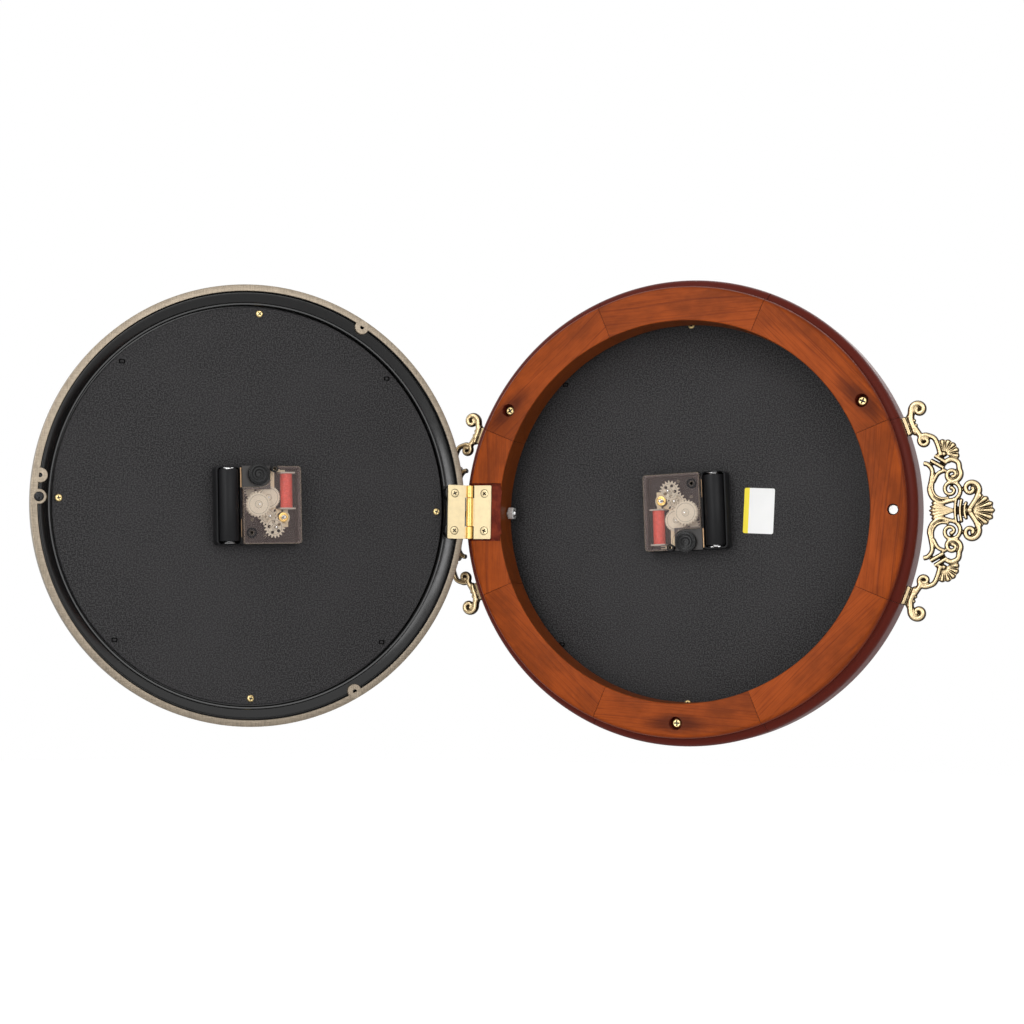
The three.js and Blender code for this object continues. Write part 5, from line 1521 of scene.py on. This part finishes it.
class CLOCK_OT_movements(Operator):
    """The movement cases: battery bay, pale plate, smoked cover and shaft nut"""
    bl_idname = "clock.movements"
    bl_label = "Movement cases"

    def execute(self, context):
        for side in FRAMES:
            self.base(side)
            self.contacts(side)
            self.plate(side)
            self.cover(side)
            self.nut(side)
        return {"FINISHED"}

    def base(self, side):
        form = Form("black_plastic")
        left, right, bottom, top = CASE_LEFT, CASE_RIGHT, CASE_BOTTOM, CASE_TOP
        wall, corner = CASE_WALL, CASE_CORNER
        form.slab([rounded(left, right, bottom, top, corner), circle(BUSHING_BORE, 32)],
                  FLOOR_LOW, FLOOR_HIGH, 0.25)
        form.slab([rounded(BAY_RIGHT, right, bottom, top, corner),
                   rounded(GEAR_LEFT, right - wall, bottom + wall, top - wall, 1.3)],
                  FLOOR_HIGH, BASE_HEIGHT, 0.2)
        form.slab([rounded(left, GEAR_LEFT, bottom, top, 3.2),
                   rounded(left + wall, BAY_RIGHT, bottom + 0.6, top - wall, 2.2)],
                  FLOOR_HIGH - 0.2, BAY_HEIGHT, 0.35)
        form.post(BUSHING_RADIUS, -BUSHING_REACH, FLOOR_LOW + 0.1, CENTER, 40, BUSHING_BORE, 0.3)
        form.post(0.7, FLOOR_HIGH - 0.2, 5.4, WORK, 16)
        for z in (-14, 0, 13.5):
            rib = oblong(BAY_RIGHT - 1.1, BAY_RIGHT + 0.1, z - 3.4, z + 3.4)
            form.slab([rib], FLOOR_HIGH - 0.1, 4.2, 0.2)
        for x, half in ((-24.6, 3.0), (-16.4, 2.4)):
            rib = oblong(x - half / 2, x + half / 2, top - 2.2, top - 1)
            form.slab([rib], FLOOR_HIGH, 10.6, 0.15)
        for z in (-16, 8):
            form.slab([oblong(right - 0.5, right, z, z + 5)], 4, BASE_HEIGHT + 2.4, 0.1)
        form.mount(side, "movement_tray", "black_plastic", "movement_base", places=MOVEMENTS)

    def contacts(self, side):
        """The battery's flat contact and its coiled spring."""
        form = Form("bright_steel")
        x, _ = BATTERY_PLACE
        inside = CASE_TOP - CASE_WALL
        form.slab([rounded(x - 3.4, x + 3.4, inside - 0.45, inside - 0.05, 0.1, 2)], 3.4, 11.2, 0.1)
        for z, radius in ((-26.65, 4.5), (-26.05, 3.7), (-25.5, 2.7)):
            turns = (TURN * k / 28 for k in range(28))
            coil = [(x + radius * math.cos(t), -BATTERY_LEVEL + radius * math.sin(t),
                     z + 0.25 * t / TURN) for t in turns]
            form.tube(coil, 0.28, 8, up=(0, 0, 1), closed=True)
        form.mount(side, "battery_contacts", "steel", places=MOVEMENTS)

    def plate(self, side):
        """The pale frame and iron under the wheels, with the motor's small contact board."""
        form = Form("iron_plate", "black_plastic")
        hole = circle(MOTOR_BORE, 32, ROTOR)
        form.slab([divided(FRAME_OUTLINE, 2.2), hole], IRON_LOW - 1.2, IRON_HIGH, 0.18)
        form.slab([circle(5.3, 40, ROTOR), hole], IRON_LOW, IRON_HIGH + 0.5, 0.15)
        for place in PALE_PINS:
            form.post(0.62, IRON_HIGH - 0.3, IRON_HIGH + 0.9, place, 16, bevel=0.2)
        form.slab([rounded(10.2, 12.6, -4.0, 7.6, 0.3)], IRON_HIGH - 0.1, IRON_HIGH + 0.6, 0.1)
        form.use("black_plastic")
        for place in DARK_PINS:
            form.post(0.75, IRON_HIGH - 0.2, IRON_HIGH + 1.1, place, 12, bevel=0.3)
        form.mount(side, "motor_plate", "wheel_resin", places=MOVEMENTS)

    def cover_outline(self):
        """The cover's outline, with its notch for the knob."""
        step, corner = KNOB_NOTCH + COVER_EDGE, CASE_CORNER - COVER_EDGE
        right = CASE_RIGHT - CASE_CORNER
        return ([(COVER_LEFT, KNOB[1] - step)] + arc(KNOB, step, 270, 360, 12)
                + [(KNOB[0] + step, CASE_TOP - COVER_EDGE)]
                + arc((right, CASE_TOP - CASE_CORNER), corner, 90, 0, 6)
                + arc((right, CASE_BOTTOM + CASE_CORNER), corner, 0, -90, 6)
                + arc((COVER_LEFT + 1.5, CASE_BOTTOM + 1.5 + COVER_EDGE), 1.5, 270, 180, 4))

    def cover(self, side):
        form = Form("smoke_plastic", "smoke_edge", "black_plastic", "corner_plastic")
        outline, top = self.cover_outline(), COVER_HEIGHT
        under = top - COVER_SKIN - 0.1
        form.slab([outline, inset(outline, COVER_WALL)], COVER_LOW, under, 0.1)
        holes = [circle(BOSS_BORE, 24, place) for place in BOSSES]
        # Painted highlight: the top's bevels take the paler, denser smoke plastic.
        form.slab([outline] + holes, top - COVER_SKIN, top, 0.35, edge=1)
        form.use("corner_plastic")
        corner = oblong(COVER_LEFT, KNOB[0] + KNOB_NOTCH, CORNER_BOTTOM - 0.6, CASE_TOP)
        form.slab([corner, circle(1.9, 24, KNOB)], COVER_LOW, CORNER_LEVEL, 0.12)
        form.use("black_plastic")
        for place, size in zip(BOSSES, (2.5, 3.5)):
            form.lathe([(BOSS_BORE, -top + 0.6), (size, -top + 0.6), (size, -top - 0.06),
                        (size - 1, -top - 0.06), (size - 1.05, -top + 0.3),
                        (BOSS_BORE, -top + 0.3)], 32, at(place))
        form.use("smoke_edge")
        for place in POSTS:
            form.lathe(oblong(0.55, 1.1, -13, -13.7), 20, at(place))
        for place in (ROTOR, STEP, REDUCTION):
            form.lathe(oblong(0.62, 1.35, -12.6, -13.72), 24, at(place))
        form.use("black_plastic")
        for clip in ((15.2, 22.6, -20.9, -19.6), (14.6, 18.2, 23.4, 24.3)):
            form.slab([rounded(*clip, 0.3)], top - 1.9, top - 1.55)
        for place in BOSSES:
            form.post(1.9, BASE_HEIGHT, under, place, 28, 1.2)
        form.mount(side, "smoked_cover", "smoke_plastic", "movement_cover", places=MOVEMENTS)
        strip = Form("contact_copper")
        left = GEAR_LEFT
        strip.slab([rounded(left - 1.1, left - 0.2, 11.6, 25.2, 0.3)], 9.0, 11.95, 0.15)
        strip.slab([rounded(left - 0.8, left - 0.4, -22.5, -10.0, 0.1)], 9.0, 11.8, 0.1)
        strip.mount(side, "contact_strip", "brass", places=MOVEMENTS)

    def nut(self, side):
        form = Form("turned_brass")
        bore = circle(NUT_BORE, 40)
        form.slab([divided(hexagon(12), 1.2), bore], -3.4, -5.5, 0.3)
        form.slab([circle(7.6, 48), bore], -3.3, -3.6, 0.08)
        form.mount(side, "dial_nut", "brass", "shaft_nut", places=MOVEMENTS)


class CLOCK_OT_trains(Operator):
    """The gear trains, rotors and setting knobs"""
    bl_idname = "clock.trains"
    bl_label = "Gear trains"

    def execute(self, context):
        for side in FRAMES:
            self.side = side
            self.rotor()
            for arbor in ARBORS:
                self.arbor(*arbor)
            self.center_wheels()
            self.knob()
        return {"FINISHED"}

    def build(self, form, body, name=None, slot="wheel_resin", node=None):
        form.mount(self.side, name or f"{body}_wheel_resin", slot, node or f"{body}_wheel",
                   places=MOVEMENTS, body=f"{self.side}_{body}_shaft")

    def axle(self, form, place, low=AXLE_LOW, top=AXLE_TOP):
        form.use("bright_steel")
        form.post(AXLE_RADIUS, low, top, place, 16, bevel=AXLE_BEVEL)

    def arbor(self, body, place, phase, wheel_teeth, pinion_teeth, holes, top):
        form = Form("wheel_resin", "bright_steel", "wheel_groove")
        wheel(form, *wheel_teeth, phase, place, 1.9, holes)
        pinion(form, *pinion_teeth, phase, place)
        low, high = sorted((wheel_teeth[-1], pinion_teeth[-1]))
        form.post(1.0, low + WHEEL, high + 0.1, place, 20)
        self.axle(form, place, top=top)
        self.build(form, body)

    def rotor(self):
        form = Form("black_steel", "wheel_resin", "turned_brass", "bright_steel")
        form.post(3.3, 4.6, 6.8, ROTOR, 40, bevel=0.2)
        form.use("wheel_resin")
        form.post(1.1, 6.7, 8.2, ROTOR, 20)
        pinion(form, 6, STEP_TOOTH, THIRD_LEVEL, 0, ROTOR)
        form.use("turned_brass")
        disc = [(1.5, 9.35), (3.3, 9.35), (3.5, 9.5), (3.5, 10.0), (3.2, 10.15), (2.4, 10.15),
                (2.2, 9.95), (1.7, 9.95), (1.5, 10.15)]
        form.lathe([(r, -level) for r, level in disc], 48, at(ROTOR))
        form.use("bright_steel")
        form.post(1.52, 9.35, 10.1, ROTOR, 24, bevel=0.15)
        self.axle(form, ROTOR)
        self.build(form, "rotor", "rotor_turned", "brass", "rotor")

    def center_wheels(self):
        form = Form("wheel_resin", "bright_steel", "wheel_groove")
        wheel(form, 24, SECOND_TOOTH, SECOND_LEVEL, SECOND_PHASE, CENTER, 2.4)
        pinion(form, 6, THIRD_TOOTH, THIRD_LEVEL, SECOND_PHASE, CENTER)
        form.post(1.1, 9.0, 10.2, CENTER, 20)
        self.axle(form, CENTER, -13.2)
        self.build(form, "second")
        form = Form("wheel_resin")
        wheel(form, 48, CENTER_TOOTH, CENTER_LEVEL, CENTER_PHASE, CENTER, 2.6, 6)
        self.build(form, "center")
        form = Form("turned_brass")
        form.post(1.6, -11.0, 6.3, CENTER, 28, 0.85, 0.15)
        pinion(form, CANNON_TEETH, MINUTE_TOOTH, MINUTE_LEVEL, 0, CENTER)
        self.build(form, "minute", "minute_pipe_turned", "brass", "minute_pipe")
        form = Form("wheel_resin")
        wheel(form, WORK_TEETH, MINUTE_TOOTH, MINUTE_LEVEL, WORK_PHASE, WORK, 1.9)
        pinion(form, 8, HOUR_TOOTH, HOUR_LEVEL, WORK_PHASE, WORK)
        self.build(form, "minute_work")
        form = Form("wheel_resin")
        wheel(form, 32, HOUR_TOOTH, HOUR_LEVEL, HOUR_PHASE, CENTER, 3.2)
        form.post(2.6, -8.8, 2.9, CENTER, 32, 1.95, 0.15)
        self.build(form, "hour")

    def knob(self):
        form = Form("knob_plastic")
        low, high, rim = 11.5, 14.9, 6.75
        grips = [polar(7.4 if k % 2 else 7.15, 5 * k) for k in range(72)]
        form.slab([grips, circle(6.6, 72)], low, high - 0.15, 0.2, at(KNOB))
        rings = [(rim, 0.2), (6.3, 0), (5.6, 0), (5.35, 0.55), (4.5, 0.7), (4.3, 0.35),
                 (3.5, 0.3), (3.3, 0.75), (2.5, 0.95), (2.3, 0.55), (1.5, 0.5), (1.25, 1.6),
                 (0, 1.7)]
        face = [(r, -(high - sunk)) for r, sunk in rings]
        form.lathe([(rim, -low)] + face, 64, at(KNOB))
        form.lathe([(0, -low), (rim, -low)], 64, at(KNOB))
        form.post(1.5, AXLE_LOW, 12.1, KNOB, 24, bevel=0.15)
        pinion(form, KNOB_TEETH, MINUTE_TOOTH, MINUTE_LEVEL, KNOB_PHASE, KNOB)
        self.build(form, "knob", "knob_moulding", "black_plastic", "setting_knob")


class CLOCK_OT_power(Operator):
    """The motor coils and the batteries"""
    bl_idname = "clock.power"
    bl_label = "Coils and batteries"

    def execute(self, context):
        for side in FRAMES:
            self.coil(side)
            self.battery(side)
        return {"FINISHED"}

    def coil(self, side):
        form = Form("coil_winding", "bobbin")
        (x, z), half = COIL_PLACE, COIL_HALF
        body = []
        for k in range(25):
            wave = noise.noise(Vector((k * 0.7, 3.1, 0))) * 0.12
            body.append((COIL_RADIUS - 0.12 + wave, -half + 2 * half * (k / 24)))
        place = at(COIL_PLACE, COIL_LEVEL) @ about("X", 90)
        form.lathe([(0, -half)] + body + [(0, half)], 40, place)
        form.use("bobbin")
        for end in (-1, 1):
            near, far = sorted((z + end * half, z + end * (half + 1.1)))
            form.slab([rounded(x - 5.3, x + 5.3, near, far, 0.25, 3)], COIL_LEVEL - 4.8,
                      COIL_LEVEL + 4.8, 0.2)
        form.mount(side, "coil_winding", "coil_red", "motor_coil", places=MOVEMENTS)

    def battery(self, side):
        form = Form("battery_sleeve", "bright_steel")
        half, radius = BATTERY_HALF, BATTERY_RADIUS
        place = at(BATTERY_PLACE, BATTERY_LEVEL) @ about("X", 90)
        form.lathe([(radius - 1.3, -half + 0.25), (radius - 0.8, -half),
                    (radius - 0.25, -half + 0.05), (radius, -half + 0.5), (radius, half - 0.6),
                    (radius - 0.3, half - 0.1), (radius - 0.9, half), (radius - 1.5, half - 0.3)],
                   64, place, closed=False)
        form.use("bright_steel")
        form.lathe([(radius - 1.3, -half + 0.25), (0, -half + 0.25)], 64, place)
        form.lathe([(radius - 1.5, half - 0.3), (4.2, half - 0.3), (2.9, half - 0.05),
                    (2.7, half + 0.9), (2.4, half + 1.2), (0, half + 1.2)], 48, place)
        form.mount(side, "battery_cell", "battery_sleeve", "battery", places=MOVEMENTS)


# Hands and dials, drawn as they are seen from the back

HANDS = [  # name, reach, width, hub, height over the board, bore
    ("hour", 66, 10, 6.5, 8, 2.6),
    ("minute", 98, 8, 5.5, 10.2, 1.6),
    ("second", 104, 1.8, 3.6, 12.4, 0.5),
]
HAND_THICKNESS = 0.8
NEEDLE_TAIL = -30


class CLOCK_OT_hands(Operator):
    """The enamelled hands on both dials"""
    bl_idname = "clock.hands"
    bl_label = "Hands"

    def execute(self, context):
        for number, side in enumerate(FRAMES):
            board = FRAMES[side] @ millimetres(0, BOARD_LEVEL, 0)
            for name, reach, width, hub, top, bore in HANDS:
                form = Form("black_enamel")
                low, high = top - HAND_THICKNESS, top
                outlines = (self.needle(reach, width) if name == "second"
                            else self.leaf(reach, width, hub))
                form.prism(outlines, low, high, 0.12)
                form.lathe([(bore + 0.05, low), (hub - 0.25, low), (hub, low + 0.2),
                            (hub, high - 0.2), (hub - 0.25, high), (bore + 0.05, high)], 48)
                form.build(f"{side}_{name}_blade", f"{side}_{name}_shaft",
                           board @ about("Y", HAND_TIME[name][number]), "black_enamel",
                           [f"{side}_{name}_hand"])
        return {"FINISHED"}

    def leaf(self, reach, width, hub):
        """A leaf hand, pierced along its belly."""
        half = width / 2
        side = [(half * 0.42, hub * 0.6), (half * 0.4, reach * 0.24), (half * 0.62, reach * 0.4),
                (half, reach * 0.6), (half * 0.72, reach * 0.74), (half * 0.34, reach * 0.86),
                (0.25, reach)]
        slot = [(0.2, reach * 0.42), (half * 0.5, reach * 0.6), (0.2, reach * 0.76)]
        return [mirrored(smooth_outline(side, 6)), mirrored(smooth_outline(slot, 8))]

    def needle(self, reach, width):
        half, tail = width / 2, NEEDLE_TAIL
        return [[(half * 0.5, tail + 10), (half * 0.5, 0), (half * 0.35, reach * 0.5),
                 (0.2, reach), (-0.2, reach), (-half * 0.35, reach * 0.5), (-half * 0.5, 0),
                 (-half * 0.5, tail + 10), (-half * 1.6, tail + 6), (-half * 1.6, tail),
                 (half * 1.6, tail), (half * 1.6, tail + 6)]]


NUMERALS = ("XII", "I", "II", "III", "IIII", "V", "VI", "VII", "VIII", "IX", "X", "XI")
NUMERAL_RADIUS = 101.0
NUMERAL_WIDTHS = {"I": 0.29, "V": 0.62, "X": 0.66}
TRACK = (116.5, 122.0)
INNER_LINE = (62, 62.5)
PRINT_LEVEL = 10.93
LABEL_PLACE, LABEL_TURN, LABEL_HALF = (49.7, 1.4), 2.3, (10.7, 15.8)


def stroke(start, end, width):
    """A bar between two places on a level line, cut level at both ends."""
    half = width / 2
    return [(start[0] - half, start[1]), (start[0] + half, start[1]), (end[0] + half, end[1]),
            (end[0] - half, end[1])]


def numeral(text, height):
    """Bars and serifs of a numeral, standing on v = -height / 2."""
    low, high = -height / 2, height / 2
    thick, thin, serif = height * 0.15, height * 0.05, height * 0.05
    widths = [height * NUMERAL_WIDTHS[letter] for letter in text]
    bars, left = [], -sum(widths) / 2
    for letter, wide in zip(text, widths):
        middle, reach = left + wide / 2, wide * 0.33
        near, far, top = middle - reach, middle + reach, high - serif
        if letter == "I":
            bars.append(stroke((middle, low), (middle, high), thick))
            feet = [(middle, low, 1.75), (middle, top, 1.75)]
        elif letter == "V":
            bars.append(stroke((near, high), (middle, low), thick))
            bars.append(stroke((middle, low), (far, high), thin))
            feet = [(near, top, 1.8), (far, top, 1.3)]
        else:
            bars.append(stroke((near, high), (far, low), thick))
            bars.append(stroke((near, low), (far, high), thin))
            feet = [(near, top, 1.7), (far, low, 1.7), (far, top, 1.2), (near, low, 1.2)]
        for x, z, share in feet:
            half = thick * share / 2
            bars.append(oblong(x - half, x + half, z, z + serif))
        left += wide
    return bars


class CLOCK_OT_print(Operator):
    """Numerals and minute track on the dials, and the blank label on the case's board"""
    bl_idname = "clock.print"
    bl_label = "Dial print and label"

    def execute(self, context):
        height = context.scene.wall_clock.boards.numeral_height / MM
        low = PRINT_LEVEL - 0.1
        for side in FRAMES:
            form = Form("dial_ink")
            for hour, text in enumerate(NUMERALS):
                for number, bar in enumerate(numeral(text, height)):
                    flipped = [(-u, v + NUMERAL_RADIUS) for u, v in bar]
                    top = PRINT_LEVEL + 0.03 * (number % 3) + 0.04
                    form.prism([flipped], low, top, place=about("Y", -30 * hour))
            for radius in TRACK:
                form.lathe(oblong(radius - 0.25, radius + 0.25, low, PRINT_LEVEL + 0.05), 160)
            for minute in range(60):
                half = 0.9 if minute % 5 == 0 else 0.28
                form.prism([oblong(-half, half, *TRACK)], low, PRINT_LEVEL + 0.08,
                           place=about("Y", 6 * minute))
            form.lathe(oblong(*INNER_LINE, low, PRINT_LEVEL + 0.05), 120)
            form.mount(side, "dial_print", "black_enamel")
        self.label()
        return {"FINISHED"}

    def label(self):
        form = Form("blank_label", "label_band")
        (x, z), (wide, high) = LABEL_PLACE, LABEL_HALF
        place = shift(x, BOARD_LEVEL, z) @ about("Y", LABEL_TURN)
        form.prism([rounded(-wide, wide, -high, high, 1.2)], -0.14, 0.05, 0.03, place)
        form.use("label_band")
        corners = arc((-9.5, 14.6), 1.2, 90, 180, 6) + arc((-9.5, -14.6), 1.2, 180, 270, 6)
        form.prism([[(-7.1, -high), (-7.1, high)] + corners], -0.17, -0.1, place=place)
        form.build("blank_sticker", "case", FRAMES["front"], "charcoal_board")


SETTINGS = (WoodSettings, MetalSettings, BoardSettings, WorkSettings, StageSettings, ClockSettings)
PIECES = (
    CLOCK_OT_stage, CLOCK_OT_ring, CLOCK_OT_fixings, CLOCK_OT_hinge, CLOCK_OT_crests,
    CLOCK_OT_bezels, CLOCK_OT_boards, CLOCK_OT_glasses, CLOCK_OT_movements, CLOCK_OT_trains,
    CLOCK_OT_power, CLOCK_OT_hands, CLOCK_OT_print,
)


class CLOCK_PT_panel(Panel):
    """Lists the steps that build the clock"""
    bl_label = "Wall clock"
    bl_idname = "CLOCK_PT_panel"
    bl_space_type = "VIEW_3D"
    bl_region_type = "UI"
    bl_category = "Clock"

    def draw(self, context):
        for piece in PIECES:
            self.layout.operator(piece.bl_idname)


CLASSES = SETTINGS + PIECES + (CLOCK_PT_panel,)


def register():
    for kind in CLASSES:
        bpy.utils.register_class(kind)
    bpy.types.Scene.wall_clock = PointerProperty(type=ClockSettings)


def unregister():
    del bpy.types.Scene.wall_clock
    for kind in reversed(CLASSES):
        bpy.utils.unregister_class(kind)


def main():
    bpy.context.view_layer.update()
    register()
    for piece in PIECES:
        family, step = piece.bl_idname.split(".")
        getattr(getattr(bpy.ops, family), step)()
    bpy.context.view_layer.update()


if __name__ == "__main__":
    main()
